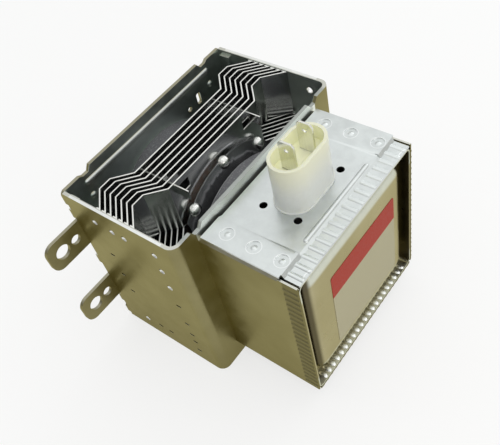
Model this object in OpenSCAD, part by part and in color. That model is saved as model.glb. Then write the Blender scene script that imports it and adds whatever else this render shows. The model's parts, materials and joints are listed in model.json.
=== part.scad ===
// Magnetron of the kind that drives a microwave oven.
// X runs along the tube: antenna at -X, filter box at +X. Z is up, and the part stands on the yoke's lower rim.
// The origin is on the tube's axis, in the outer face of the antenna-side plate.

/* [Yoke] */
// Width of the yoke across its side walls
yoke_w = 95; // [92:0.5:104]
// Depth of the yoke from the plate's outer face to the filter-side wall's outer face
yoke_d = 57.5; // [56:0.5:62]
// Height of the yoke between its lower rim and the corners of its upper rim
yoke_h = 83.3; // [82:0.1:94]
// Height of the tube's axis above the yoke's lower rim
axis_h = 42.6; // [41.6:0.1:48]
// Thickness of the yoke's steel sheet
sheet_t = 1.5; // [1.2:0.1:1.8]
// Outer radius of the two bends of the yoke frame
bend_r = 4; // [2.5:0.5:6]
// How far the middle of the plate's upper rim stands above its corners
rim_rise = 1.3; // [0.5:0.1:2]
// Half width of the upper rim's middle, between its notches
rim_mid_half = 32.2; // [28:0.1:34]
// Width of a notch in the upper rim
notch_w = 6; // [4:0.1:7]
// Run of a notch's slopes
notch_ramp = 1.6; // [0.6:0.1:1.8]
// Depth of the plate's notches below the corners of its upper rim
plate_notch = 1; // [0.5:0.1:2]
// Depth of the notches of the filter-side wall
wall_notch = 2.2; // [1:0.1:3]
// How far the plate's side edges lie behind the outer faces of the side walls
plate_inset = 1.4; // [0.5:0.1:1.4]
// Height of the plate's corners, which reach out to the outer faces of the side walls
corner_h = 6.4; // [4:0.1:7]
// Radius of the plate's corners
corner_r = 2.2; // [1:0.1:3]
// Length of each tab that locks a side wall into the plate
tab_len = 5; // [3:0.5:5.5]
// Distance of the outer locking tabs from the tube axis
tab_z = 28.8; // [28.4:0.1:29.2]
// How far the lugs behind the plate stand out of the side walls' inner faces
lug_out = 1.2; // [0.6:0.1:2]
// Length of the pressed rib on the antenna-side plate
rib_len = 75; // [50:1:80]
// Radius of the pressed rib
rib_r = 1.6; // [1:0.1:2.2]
// Distance of the pressed rib below the corners of the upper rim
rib_drop = 4.5; // [4:0.1:5.5]
// Radius of the round bumps pressed into the plate
bump_r = 1.6; // [1:0.1:2]
// How deep the middles of the bumps lie below the plate's inner face
bump_sink = 0.55; // [0.3:0.05:0.8]
// Length of the slits punched in the side walls
mark_len = 2.4; // [1.5:0.1:3]
// Width of the slits punched in the side walls
mark_w = 1; // [0.6:0.1:1.4]
// Depth of the slits punched in the side walls
mark_depth = 0.8; // [0.3:0.1:1]
// Radius of the ball that presses a dimple in a side wall
dimple_r = 1.6; // [1:0.1:2]
// Depth of the dimples in the side walls
dimple_depth = 0.7; // [0.3:0.1:1]
// Radius of the hole in the far side wall
wall_hole_r = 1.5; // [1:0.1:2]

/* [Mounting ears] */
// Width of a mounting ear
ear_w = 14; // [11:0.5:16]
// Reach of an ear beyond the side wall
ear_reach = 18.1; // [16:0.1:22]
// Radius of the corners at an ear's tip
ear_tip_r = 4.5; // [2:0.5:5.5]
// Distance between the two ears
ear_pitch = 36.3; // [32:0.1:40]
// Radius of the large hole in an ear
ear_hole_r = 3.3; // [2.5:0.1:3.6]
// Distance of the large hole from the ear's tip
ear_hole_in = 6.75; // [6:0.05:8]
// Radius of the small hole in an ear
ear_small_r = 2.2; // [1.5:0.1:2.4]
// Distance between the large and the small hole
ear_holes_gap = 6.95; // [6.5:0.05:8]

/* [Cooling fins] */
// Thickness of a fin
fin_t = 0.6; // [0.4:0.05:0.8]
// Distance of the first fin from the antenna-side magnet
fin_front = 4.92; // [4.6:0.02:5.6]
// Distance of the last fin from the filter-side magnet
fin_rear = 7.02; // [6.6:0.02:8]
// Height of a fin
fin_h = 80.8; // [76:0.2:81.2]
// Height of the strip above and of the strip below the middle strip of a fin
fin_strip_h = 21.5; // [18:0.5:24]
// Half length of the fin's flat middle
fin_flat_half = 26; // [25:0.5:28]
// How far the upper and the lower strip step out of the fin's plane, towards the antenna
fin_step = 6.5; // [4:0.1:6.6]
// Run of the first slope of the upper and the lower strip
fin_slope = 6.8; // [6:0.1:7.5]
// Length of the stepped flat of the upper and the lower strip
fin_step_len = 5.6; // [4:0.1:6]
// How far the end of the upper and the lower strip comes back past the fin's plane
fin_end_past = 0.95; // [0.5:0.05:1.2]
// Distance of the last fin's middle flange from the start of the frame's bend
fin_bend_gap = 0.4; // [0.2:0.1:4]
// Length of the flanges that lie on the side wall
fin_flange = 1.8; // [1:0.1:1.9]
// Height of the slits between the strips
fin_slit = 0.3; // [0.2:0.05:0.6]
// Height of the lanced spacer tongues
tongue_h = 4.5; // [3:0.5:6]
// Reach of the free spacer tongues of the last fin
tongue_reach = 5; // [3:0.1:5.5]
// Distance of the spacer tongues from the tube's axis, across the fins
tongue_y = 21.8; // [21:0.1:24]
// Distance of the spacer tongues below the fin's upper edge
tongue_drop = 2.8; // [2:0.1:5]

/* [Magnets] */
// Outer radius of the ring magnets
magnet_r = 29.6; // [27:0.1:31]
// Thickness of the ring magnets
magnet_t = 12.7; // [12:0.1:13]
// Chamfer on the magnets' edges
magnet_chamfer = 0.8; // [0.4:0.1:1.5]
// Outer radius of the dished retainer at the filter-side magnet
dish_r = 32.6; // [31:0.1:34]
// Thickness of the dished retainer
dish_t = 0.6; // [0.4:0.1:0.8]
// How far the retainer's rim stands in front of its seat
dish_depth = 4.8; // [3:0.1:5.2]
// Half width between the retainer's two side flats
dish_flat_half = 25.2; // [24:0.1:25.6]
// Radius of the pips pressed into the retainer's rim
pip_r = 2.7; // [1.5:0.1:3]
// Angle between neighbouring pips
pip_angle = 40; // [30:1:42]
// Distance of the pips from the retainer's rim
pip_in = 1.35; // [1:0.05:2.5]

/* [Tube] */
// Outer radius of the anode cylinder
anode_r = 20; // [18:0.1:20.4]
// Wall of the anode cylinder
anode_wall = 2.4; // [1.8:0.1:3]
// Number of anode vanes
vane_count = 10; // [8:2:12]
// Thickness of a vane
vane_t = 1.8; // [1:0.1:2]
// Distance of the vanes from the pole pieces' funnels
vane_space = 4; // [3.6:0.1:4.8]
// Radius of the space between the vanes' tips
vane_tip_r = 4.6; // [4.4:0.1:5.2]
// Radius of the inner strap ring
strap_r = 7; // [6.6:0.1:7.4]
// Width of a strap ring and depth of its seat
strap_w = 0.9; // [0.6:0.1:1]
// Thickness of a pole piece
pole_t = 1.6; // [1.2:0.1:2]
// Depth of the pole pieces' funnels
pole_depth = 3.4; // [2.5:0.1:3.6]
// Radius of the hole in the pole pieces
pole_hole_r = 4.8; // [4.7:0.1:5.2]
// Radius at which the pole pieces' funnels start
funnel_r = 11.6; // [11:0.1:13]
// Radius of the seal cans' flanges
seal_flange_r = 17; // [15:0.5:17.5]
// Radius of the seal cans' necks
neck_r = 9.5; // [9.2:0.1:9.8]
// Thickness of the seal cans' sheet
seal_t = 0.5; // [0.4:0.05:0.6]
// Reach of the antenna-side neck beyond the plate
neck_out = 2.5; // [2:0.1:4]
// Reach of the filter-side neck into the filter box
neck_in = 2; // [1.5:0.1:4]
// Radius of the antenna's ceramic ring
ceramic_r = 8.2; // [7.8:0.1:8.8]
// Wall of the ceramic rings
ceramic_wall = 1.8; // [1.4:0.1:2]
// Length of the antenna's ceramic ring
ceramic_len = 10; // [8:0.5:12]
// Radius of the antenna cap
cap_r = 7.4; // [7:0.05:7.6]
// Length of the antenna cap
cap_len = 15.5; // [13:0.5:16]
// Wall of the antenna cap
cap_wall = 0.6; // [0.4:0.05:0.8]
// Rounding of the antenna cap's end
cap_round = 2.2; // [1:0.1:3]
// Outer radius of the wire-mesh gasket
gasket_r = 16.8; // [14:0.2:18]
// Thickness of the wire-mesh gasket
gasket_t = 4.6; // [3:0.1:6]
// Rounding of the wire-mesh gasket's outer edges
gasket_round = 1.15; // [0.5:0.05:1.4]
// Radius of the exhaust tube under the antenna cap
exhaust_r = 2.3; // [1.8:0.1:3]
// Reach of the exhaust tube into the antenna's ceramic ring
exhaust_in = 5; // [3:0.5:7]
// Length of the exhaust tube's pinched end
pinch_len = 7; // [5:0.5:9]
// Thickness of the exhaust tube's pinched end
pinch_t = 1; // [0.8:0.1:1.6]
// Width of the antenna lead, a square copper wire
lead_w = 1.4; // [1:0.1:1.8]
// Radius of the cathode rods
rod_r = 0.8; // [0.6:0.05:0.9]
// Distance of the side rod from the tube's axis
side_rod_y = 2.6; // [2.5:0.1:2.7]
// Radius of the cathode's end hats
hat_r = 3.6; // [3.5:0.1:4]
// Thickness of the cathode's end hats
hat_t = 1; // [0.8:0.1:1.2]
// Distance of the end hats' middles beyond the vanes
hat_out = 1; // [0.8:0.1:1.2]
// Middle radius of the filament's winding
filament_r = 1.9; // [1.7:0.1:2.2]
// Radius of the filament's wire
filament_wire_r = 0.35; // [0.3:0.05:0.4]
// Distance from one turn of the filament to the next
filament_pitch = 0.55; // [0.5:0.01:0.58]
// Length of the stem insulator behind the filter-side neck
stem_len = 9; // [7:0.5:10]
// Depth of the stem insulator's cup
stem_cup = 6; // [4:0.5:6.5]
// Reach of the cathode rods behind the stem insulator
rod_out = 3.5; // [2:0.1:5]

/* [Filter box] */
// Width of the filter box
box_w = 72.4; // [68:0.2:76]
// Height of the filter box
box_h = 70.8; // [66:0.2:74]
// Depth of the filter box from the yoke to the crimped edge
box_d = 41; // [40:0.5:46]
// Thickness of the filter box's sheet
box_t = 0.8; // [0.6:0.05:1]
// Radius of the filter box's bends
box_bend_r = 1.4; // [1.2:0.1:2]
// Gap between the top plate and the yoke
top_gap = 1; // [0.5:0.1:2]
// Height of the top plate above its crimped edge
top_rise = 1.5; // [1:0.1:2]
// Run of the slope from the top plate down to its crimped edge
top_ramp = 1; // [0.8:0.1:1.2]
// Gap between the ends of the top plate's crimped edge and the shell's sides
top_edge_gap = 0.8; // [0.3:0.1:1.5]
// Distance of the shell's rear wall below the top plate
rear_drop = 5; // [1:0.5:8]
// Width of the top plate's side strips, which lie on the shell's flanges
strip_w = 10.6; // [9:0.1:12]
// Run of the slope from a side strip down to the top plate's middle
strip_ramp = 1.5; // [1:0.1:2.5]
// How much narrower the shell's flanges are than the side strips
flange_short = 1; // [0.8:0.1:2]
// Length of the crimped edge
crimp_len = 6; // [5:0.1:7]
// Distance from one crimp rib to the next on the top plate
crimp_pitch = 4; // [3.4:0.1:5]
// Height of the crimp ribs on the top plate
crimp_h = 0.45; // [0.2:0.05:0.6]
// Radius of the crimp ribs on the top plate
crimp_r = 1.4; // [1:0.1:1.6]
// Distance from one crimp rib to the next on the shell
shell_crimp_pitch = 3; // [2.4:0.1:4]
// Height of the crimp ribs on the shell
shell_crimp_h = 0.3; // [0.15:0.05:0.4]
// Radius of the crimp ribs on the shell
shell_crimp_r = 1; // [0.8:0.1:1.2]
// Length of the crimped edge left plain at each corner
crimp_end = 2.2; // [2:0.1:4]
// Depth of the lid's recess behind the crimped edge
lid_recess = 5.3; // [4:0.1:5.6]
// Thickness of the lid's sheet
lid_t = 0.6; // [0.4:0.05:0.8]
// Corner radius of the lid
lid_corner_r = 2.5; // [1.5:0.1:4]
// Distance from the lid's edge to its raised panel
panel_inset = 4; // [3:0.1:6]
// How far the raised panel stays behind the crimped edge
panel_behind = 1.2; // [0.5:0.1:2]
// Corner radius of the raised panel
panel_corner_r = 6; // [4.5:0.5:9]
// Edge radius of the raised panel
panel_edge_r = 3; // [1.5:0.1:3.2]
// Radius of the clinch joints on the top plate
clinch_r = 2.6; // [1.8:0.1:3]
// Distance between the clinch joints
clinch_pitch = 11.4; // [9:0.1:11.5]
// Distance of the middle clinch joints from the yoke
clinch_x = 19.8; // [17:0.1:19.9]
// Distance of the clinch joints from the filter box's side
clinch_in = 6.2; // [5:0.1:7]
// Depth of the clinch joints
clinch_depth = 0.4; // [0.2:0.05:0.5]
// Radius of the dome in the middle of a clinch joint
clinch_dome_r = 2; // [1.5:0.1:2.6]
// Radius of the round holes beside the capacitor
vent_r = 1.5; // [1:0.1:2]
// Distance of the round holes' middle from the yoke
vent_x = 18.6; // [17:0.1:20]
// Distance between the round holes along the tube
vent_dx = 14.6; // [13:0.1:16]
// Distance between the round holes across the box
vent_dy = 26.6; // [26:0.1:30]
// Length of the bead behind the top plate's crimped edge
bead_len = 40; // [30:1:44]
// Radius of the bead
bead_r = 1.1; // [0.7:0.1:1.2]

/* [Capacitor] */
// Distance of the capacitor's centre from the yoke
cap_x = 19.5; // [18:0.1:20]
// Distance between the capacitor's two terminals
terminal_pitch = 10.4; // [10:0.1:11.4]
// Radius of the housing's round ends at the rim
housing_r = 7.15; // [6.9:0.05:7.4]
// Radius of the housing's round ends at its foot
housing_foot_r = 7.5; // [7.4:0.05:8]
// Wall of the housing at the rim
housing_wall = 1.2; // [0.8:0.05:1.4]
// Height of the housing above the top plate
housing_h = 20.1; // [18:0.1:25]
// Depth of the housing's cup
cup_depth = 6; // [5:0.1:9]
// Height of the housing's foot
foot_h = 0.8; // [0.5:0.1:1.2]
// How far the housing's foot stands out
foot_out = 0.4; // [0.2:0.1:0.8]
// Radius of the housing's collar in the top plate
collar_r = 6.3; // [5:0.1:6.6]
// Radius of the insulating base below the top plate
base_r = 8.2; // [7.6:0.1:9]
// Height of the insulating base below the top plate
base_h = 15; // [12:0.5:18]
// Width of a terminal blade
blade_w = 6.35; // [4.75:0.05:6.4]
// Thickness of a terminal blade
blade_t = 0.8; // [0.5:0.05:0.8]
// Height of the blades above the housing's rim
blade_out = 6.3; // [3:0.1:7]
// Depth to which the blades are set into the cup's floor
blade_root = 4; // [2:0.1:6]
// Radius of the hole in a blade
blade_hole_r = 0.85; // [0.5:0.05:0.9]
// Distance of the hole below the blade's tip
blade_hole_drop = 3.2; // [2.8:0.1:3.6]
// Chamfer at a blade's tip
blade_chamfer = 1.1; // [0.5:0.1:1.5]
// Radius of the rod below a blade
blade_rod_r = 1.2; // [0.8:0.1:1.3]
// Reach of the rods below the insulating base
blade_rod_out = 4; // [2:0.1:5]

/* [Chokes] */
// Middle radius of the choke coils
coil_r = 3.7; // [3.4:0.1:4.5]
// Radius of the choke coils' wire
coil_wire_r = 0.75; // [0.5:0.05:0.8]
// Radius of the choke coils' leads
coil_lead_r = 0.6; // [0.4:0.05:0.65]
// Radius of the solder beads at the leads' ends
solder_r = 1; // [0.8:0.1:1.2]
// Number of turns of a choke coil
coil_turns = 18; // [12:1:20]
// Distance from one turn to the next
coil_pitch = 1.4; // [1.1:0.1:1.5]
// Radius of the ferrite cores
core_r = 2.7; // [2:0.05:2.8]
// How far the ferrite cores reach past the middles of the end turns
core_out = 1.4; // [0.8:0.1:4]
// Distance of the choke coils from the tube's axis, across the box
choke_y = 13; // [11:0.5:16]
// Distance of the choke coils from the yoke
choke_x = 24; // [22:0.5:27]

/* [Fits] */
// Clearance of pressed and clamped fits
fit_gap = 0.05; // [0.02:0.01:0.1]
// Clearance of sheet-metal parts that lie side by side
sheet_gap = 0.1; // [0.05:0.05:0.2]
// Clearance of the necks in the magnets and walls
neck_gap = 0.7; // [0.4:0.1:0.9]
// Clearance of the antenna lead and of the centre rod where they pass through without contact
pass_gap = 0.25; // [0.1:0.05:0.3]

/* [Hidden] */
$fn = 48;
panel_fn = 32;
// How far a cutting shape reaches past what it cuts
over = 1;
// Number of cooling fins, which have a node each
fin_count = 7;
half_w = yoke_w / 2;
wall_in = half_w - sheet_t;
foot_z = -axis_h;
corner_z = yoke_h - axis_h;
rim_z = corner_z + rim_rise;
hole_r = neck_r + neck_gap;

// Places of the dimples and slits along the side walls, from the plate, and up from the axis
front_mark_x = 15;
rear_mark_in = 12;
wall_hole_in = 9.5;
rear_mark_x = yoke_d - rear_mark_in;
front_dimples_z = [32, -35];
rear_dimples_z = [22, 11.5];
upper_dimples_x = [24, 30.3, rear_mark_x];
upper_dimples_z = 31.5;
front_slits_z = [12, -1.3, -13.3];
rear_slits_z = [-1, -14, -22.5, -28.3, -35.2];
lower_slits_x = [23.5, 29.6];
lower_slits_z = -34;
wall_hole_x = yoke_d - wall_hole_in;
wall_hole_z = 34.3;

// Places of the slot, the hole and the bumps of the plate
plate_slot_y = 28.2;
plate_slot_z = 27.2;
plate_slot_w = 2.5;
plate_slot_h = 5.4;
plate_slot_r = 0.8;
plate_hole_y = 21.8;
plate_hole_z = 25.9;
plate_hole_r = 1.2;
plate_bump_y = 36.4;
plate_bump_z = 29.2;

// Corners of the lugs' outline, from the plate's outer face and up from the axis
lug_points = [[2.8, 38.6], [7.7, 38.6], [7.4, 35.1]];

ear_tip_y = -(half_w + ear_reach);
ear_hole_y = ear_tip_y + ear_hole_in;
ear_small_y = ear_hole_y + ear_holes_gap;

// The tube's stack along X, from the antenna-side magnet to the filter-side magnet
stack_x0 = sheet_t + magnet_t;
stack_x1 = yoke_d - sheet_t - magnet_t;
pole_x0 = stack_x0 + seal_t;
pole_x1 = stack_x1 - dish_t - seal_t;
anode_x0 = pole_x0 + pole_t;
anode_x1 = pole_x1 - pole_t;
tube_mid = (anode_x0 + anode_x1) / 2;
anode_bore = anode_r - anode_wall;
vane_len = anode_x1 - anode_x0 - 2 * (pole_depth + vane_space);
fin_x0 = stack_x0 + fin_front;
fin_x1 = stack_x1 - fin_rear;
fin_pitch = (fin_x1 - fin_x0) / (fin_count - 1);
// How far the middle strips' ends lie off the fins' planes, towards the filter box
fin_lean = yoke_d - bend_r - fin_bend_gap - fin_flange - fin_x1;
fin_end_y = wall_in - sheet_gap - fin_t / 2;
fin_slit_z = fin_h / 2 - fin_strip_h;

antenna_x = -neck_out;
cap_x0 = antenna_x - ceramic_len;
antenna_tip = cap_x0 - cap_len;
pinch_x0 = antenna_tip + cap_wall;
pinch_x1 = pinch_x0 + pinch_len;
hat_x0 = tube_mid - vane_len / 2 - hat_out;
hat_x1 = tube_mid + vane_len / 2 + hat_out;

box_x0 = yoke_d;
box_x1 = yoke_d + box_d;
box_half_w = box_w / 2;
box_half_h = box_h / 2;
edge_z = box_half_h - box_t / 2;
edge_under = edge_z - box_t / 2;
strip_z = edge_z + top_rise;
panel_z = strip_z - box_t;
panel_top = panel_z + box_t / 2;
panel_under = panel_z - box_t / 2;
strip_y = box_half_w - strip_w;
lid_x0 = box_x1 - lid_recess - lid_t;
lid_w = box_w - 2 * (box_t + sheet_gap);
lid_h = box_h - 2 * (box_t + sheet_gap);
crimp_x0 = box_x1 - crimp_len;
ramp_x0 = crimp_x0 - top_ramp;
neck_x1 = box_x0 + box_t + neck_in;
stem_x1 = neck_x1 + stem_len;
rod_end = stem_x1 + rod_out;

cap_cx = box_x0 + cap_x;
cup_half = terminal_pitch / 2;
rim_top = panel_top + housing_h;
cup_floor = rim_top - cup_depth;
blade_top = rim_top + blade_out;
blade_foot = cup_floor - blade_root;
base_z = panel_under - base_h;
blade_rod_z = base_z - blade_rod_out;
choke_cx = box_x0 + choke_x;
coil_len = (coil_turns - 1) * coil_pitch;
coil_web = coil_wire_r;

STEEL = "darkkhaki";
ZINC = "lightgray";
ALUMINIUM = "whitesmoke";
COPPER = "peru";

// Turns a shape drawn along Z so that it runs along X
module about_x() {
    rotate([0, 90, 0])
        children();
}

// Extrudes an outline drawn in Y and Z along X, from x0 to x1
module along_x(x0, x1) {
    translate([x0, 0, 0])
        rotate([90, 0, 90])
            linear_extrude(x1 - x0)
                children();
}

// A ring or tube round X, from x0 to x1
module ring_x(x0, x1, r_out, r_in) {
    translate([x0, 0, 0])
        about_x()
            difference() {
                cylinder(h = x1 - x0, r = r_out);
                translate([0, 0, -over])
                    cylinder(h = x1 - x0 + 2 * over, r = r_in);
            }
}

// A round rod between two points
module rod(p, q, r) {
    d = q - p;
    translate(p)
        rotate([0, acos(d[2] / norm(d)), atan2(d[1], d[0])])
            cylinder(h = norm(d), r = r);
}

// An oblong with round corners, drawn about its centre
module rounded_rect(w, h, r) {
    square([w - 2 * r, h], center = true);
    square([w, h - 2 * r], center = true);
    for (sx = [-1, 1], sy = [-1, 1])
        translate([sx * (w / 2 - r), sy * (h / 2 - r)])
            circle(r);
}

// An oblong with fully round ends, long along Y
module stadium(r, half) {
    square([2 * r, 2 * half], center = true);
    for (s = [-1, 1])
        translate([0, s * half])
            circle(r);
}

// A raised panel with round corners and a round front edge, drawn upwards from its foot
module pillow(w, h, height, corner_r, edge_r) {
    hull()
        for (sx = [-1, 1], sy = [-1, 1])
            translate([sx * (w / 2 - corner_r), sy * (h / 2 - corner_r), 0]) {
                cylinder(h = height - edge_r, r = corner_r, $fn = panel_fn);
                translate([0, 0, height - edge_r])
                    rotate_extrude($fn = panel_fn)
                        translate([corner_r - edge_r, 0])
                            intersection() {
                                circle(edge_r, $fn = panel_fn);
                                square(edge_r);
                            }
            }
}

// Outline of a folded sheet of thickness t along a path, with mitred bends
function unit(v) = v / norm(v);
function left_of(v) = [-v[1], v[0]];
function leg(p, i) = unit(p[i + 1] - p[i]);
function mitre(p, i) =
    let (a = left_of(leg(p, max(i - 1, 0))))
    let (b = left_of(leg(p, min(i, len(p) - 2))))
    (a + b) / (1 + a * b);
function folded(p, t) = concat(
    [for (i = [0 : len(p) - 1]) p[i] + t / 2 * mitre(p, i)],
    [for (i = [len(p) - 1 : -1 : 0]) p[i] - t / 2 * mitre(p, i)]
);

// Yoke

// Everything above an upper rim, with the rise of its middle and the depth of its notches
module above_rim(rise, notch) {
    edge = half_w + over;
    for (s = [-1, 1])
        polygon([
            [0, corner_z + rise],
            [s * rim_mid_half, corner_z + rise],
            [s * (rim_mid_half + notch_ramp), corner_z - notch],
            [s * (rim_mid_half + notch_w - notch_ramp), corner_z - notch],
            [s * (rim_mid_half + notch_w), corner_z],
            [s * edge, corner_z],
            [s * edge, rim_z + over],
            [0, rim_z + over]
        ]);
}

// Places of the tabs that lock the side walls into the plate
module at_tabs() {
    for (s = [-1, 1], z = [-tab_z, 0, tab_z])
        translate([0, s * (half_w - sheet_t / 2), z])
            children();
}

module ear_outline() {
    translate([ear_tip_y + ear_tip_r, -ear_w / 2])
        square([ear_reach + plate_inset + over - ear_tip_r, ear_w]);
    translate([ear_tip_y, -(ear_w / 2 - ear_tip_r)])
        square([ear_tip_r, ear_w - 2 * ear_tip_r]);
    for (s = [-1, 1])
        translate([ear_tip_y + ear_tip_r, s * (ear_w / 2 - ear_tip_r)])
            circle(ear_tip_r);
}

// A corner of the plate that reaches out over the end of a side wall, with its tip at height z
module plate_corner(s, z) {
    up = sign(z);
    low = up * (corner_h + plate_inset);
    edge = half_w - plate_inset;
    polygon([
        [s * (edge - over), z],
        [s * (half_w - corner_r), z],
        [s * half_w, z - up * corner_r],
        [s * half_w, z - up * corner_h],
        [s * edge, z - low],
        [s * (edge - over), z - low]
    ]);
    translate([s * (half_w - corner_r), z - up * corner_r])
        circle(corner_r);
}

module plate_outline() {
    edge = half_w - plate_inset;
    difference() {
        union() {
            difference() {
                union() {
                    translate([-edge, foot_z])
                        square([2 * edge, rim_z - foot_z]);
                    for (s = [-1, 1], z = [foot_z, corner_z])
                        plate_corner(s, z);
                }
                above_rim(rim_rise, plate_notch);
            }
            for (s = [-1, 1])
                translate([0, s * ear_pitch / 2])
                    ear_outline();
        }
        circle(hole_r);
        for (s = [-1, 1])
            translate([0, s * ear_pitch / 2]) {
                translate([ear_hole_y, 0])
                    circle(ear_hole_r);
                translate([ear_small_y, 0])
                    circle(ear_small_r);
            }
        translate([plate_slot_y, plate_slot_z])
            rounded_rect(plate_slot_w, plate_slot_h, plate_slot_r);
        translate([plate_hole_y, plate_hole_z])
            circle(plate_hole_r);
    }
}

// A bead with round ends along Y
module bead(len, r) {
    rotate([90, 0, 0])
        cylinder(h = len - 2 * r, r = r, center = true);
    for (s = [-1, 1])
        translate([0, s * (len / 2 - r), 0])
            sphere(r);
}

module yoke_plate() {
    rib_z = corner_z - rib_drop;
    color(STEEL)
        difference() {
            union() {
                along_x(0, sheet_t)
                    plate_outline();
                intersection() {
                    translate([sheet_t / 2, 0, rib_z])
                        bead(rib_len, rib_r);
                    translate([sheet_t / 2, -half_w, rib_z - rib_r - over])
                        cube([2 * rib_r, yoke_w, 2 * rib_r + 2 * over]);
                }
                for (s = [-1, 1])
                    translate([sheet_t - bump_sink, s * plate_bump_y, plate_bump_z])
                        sphere(bump_r);
            }
            translate([-sheet_t / 2, 0, rib_z])
                bead(rib_len - sheet_t, rib_r);
            at_tabs()
                cube([3 * sheet_t, sheet_t + 2 * sheet_gap, tab_len + 2 * sheet_gap], center = true);
        }
}

// The frame's outline from above: two side walls and the filter-side wall
module channel(x1, half, r) {
    translate([sheet_t, -half])
        square([x1 - r - sheet_t, 2 * half]);
    translate([sheet_t, -(half - r)])
        square([x1 - sheet_t, 2 * (half - r)]);
    for (s = [-1, 1])
        translate([x1 - r, s * (half - r)])
            circle(r);
}

// A slit punched in the outer face of a side wall
module slit(x, side, z) {
    translate([x, side * half_w, z])
        cube([mark_len, 2 * mark_depth, mark_w], center = true);
}

// A dimple pressed in the outer face of a side wall
module dimple(x, side, z) {
    translate([x, side * (half_w + dimple_r - dimple_depth), z])
        sphere(dimple_r);
}

// A lug pressed out of a side wall's inner face, behind the plate
module lug(side) {
    translate([0, side * (wall_in + (sheet_t / 2 - lug_out) / 2), 0])
        rotate([90, 0, 0])
            linear_extrude(lug_out + sheet_t / 2, center = true)
                polygon(lug_points);
}

module yoke_frame() {
    color(STEEL)
        difference() {
            union() {
                translate([0, 0, foot_z])
                    linear_extrude(yoke_h)
                        difference() {
                            channel(yoke_d, half_w, bend_r);
                            translate([-over, 0])
                                channel(yoke_d - sheet_t + over, wall_in, bend_r - sheet_t);
                        }
                at_tabs()
                    translate([sheet_t / 2, 0, 0])
                        cube([sheet_t, sheet_t, tab_len], center = true);
                for (side = [-1, 1])
                    lug(side);
            }
            along_x(yoke_d - 2 * sheet_t, yoke_d + over)
                above_rim(0, wall_notch);
            translate([yoke_d - 2 * sheet_t, 0, 0])
                about_x()
                    cylinder(h = 3 * sheet_t, r = hole_r);
            translate([wall_hole_x, half_w - sheet_t / 2, wall_hole_z])
                rotate([90, 0, 0])
                    cylinder(h = 2 * sheet_t, r = wall_hole_r, center = true);
            for (side = [-1, 1]) {
                for (z = front_dimples_z)
                    dimple(front_mark_x, side, z);
                for (z = rear_dimples_z)
                    dimple(rear_mark_x, side, z);
                for (z = front_slits_z)
                    slit(front_mark_x, side, z);
                for (z = rear_slits_z)
                    slit(rear_mark_x, side, z);
                for (x = lower_slits_x)
                    slit(x, side, lower_slits_z);
            }
            for (x = upper_dimples_x)
                dimple(x, -1, upper_dimples_z);
        }
}

// Cooling fins

// Half of the upper and the lower strip's path: it steps aside, comes back and ends in a flange on the side wall
function outer_half() = [
    [0, fin_flat_half],
    [-fin_step, fin_flat_half + fin_slope],
    [-fin_step, fin_flat_half + fin_slope + fin_step_len],
    [fin_end_past, fin_end_y],
    [fin_end_past - fin_flange, fin_end_y]
];
// Half of the middle strip's path: it leans the other way all along and ends in a flange too
function middle_half() = [
    [0, fin_flat_half],
    [fin_lean, fin_end_y],
    [fin_lean + fin_flange, fin_end_y]
];
function both_halves(half) = concat(
    [for (i = [len(half) - 1 : -1 : 0]) [half[i][0], -half[i][1]]],
    half
);

module fin_strip(half, z0, z1) {
    translate([0, 0, z0])
        linear_extrude(z1 - z0)
            polygon(folded(both_halves(half), fin_t));
}

// One fin, with a collar on the anode and two spacer tongues bent out towards the next fin
module cooling_fin(i) {
    reach = i == fin_count ? tongue_reach : fin_pitch - fin_t - fit_gap;
    window_top = fin_h / 2 - tongue_drop;
    slit_y = fin_flat_half - over;
    color(ALUMINIUM)
        translate([fin_x0 + (i - 1) * fin_pitch, 0, 0])
            difference() {
                union() {
                    fin_strip(outer_half(), fin_slit_z, fin_h / 2);
                    fin_strip(middle_half(), -fin_slit_z, fin_slit_z);
                    fin_strip(outer_half(), -fin_h / 2, -fin_slit_z);
                    translate([-fin_t / 2, 0, 0])
                        about_x()
                            cylinder(h = fin_pitch - fit_gap, r = anode_r + fin_t);
                    for (s = [-1, 1])
                        translate([0, s * tongue_y - fin_t / 2, window_top - tongue_h])
                            cube([fin_t / 2 + reach, fin_t, tongue_h]);
                }
                translate([-fin_t, 0, 0])
                    about_x()
                        cylinder(h = 2 * fin_pitch, r = anode_r + fit_gap);
                for (s = [-1, 1], z = [-fin_slit_z, fin_slit_z])
                    translate([0, s * (slit_y + half_w / 2), z])
                        cube([4 * fin_lean, half_w, fin_slit], center = true);
                for (s = [-1, 1])
                    translate([0, s * (tongue_y - fin_t / 2 - reach / 2), window_top - tongue_h / 2])
                        cube([2 * fin_t, reach, tongue_h], center = true);
            }
}

// Magnets and their retainer

module ring_magnet(x0) {
    c = magnet_chamfer;
    color("dimgray")
        translate([x0, 0, 0])
            about_x()
                rotate_extrude()
                    polygon([
                        [hole_r, 0],
                        [magnet_r - c, 0],
                        [magnet_r, c],
                        [magnet_r, magnet_t - c],
                        [magnet_r - c, magnet_t],
                        [hole_r, magnet_t]
                    ]);
}

module magnet_antenna_side() {
    ring_magnet(sheet_t);
}

module magnet_filter_side() {
    ring_magnet(stack_x1);
}

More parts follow.
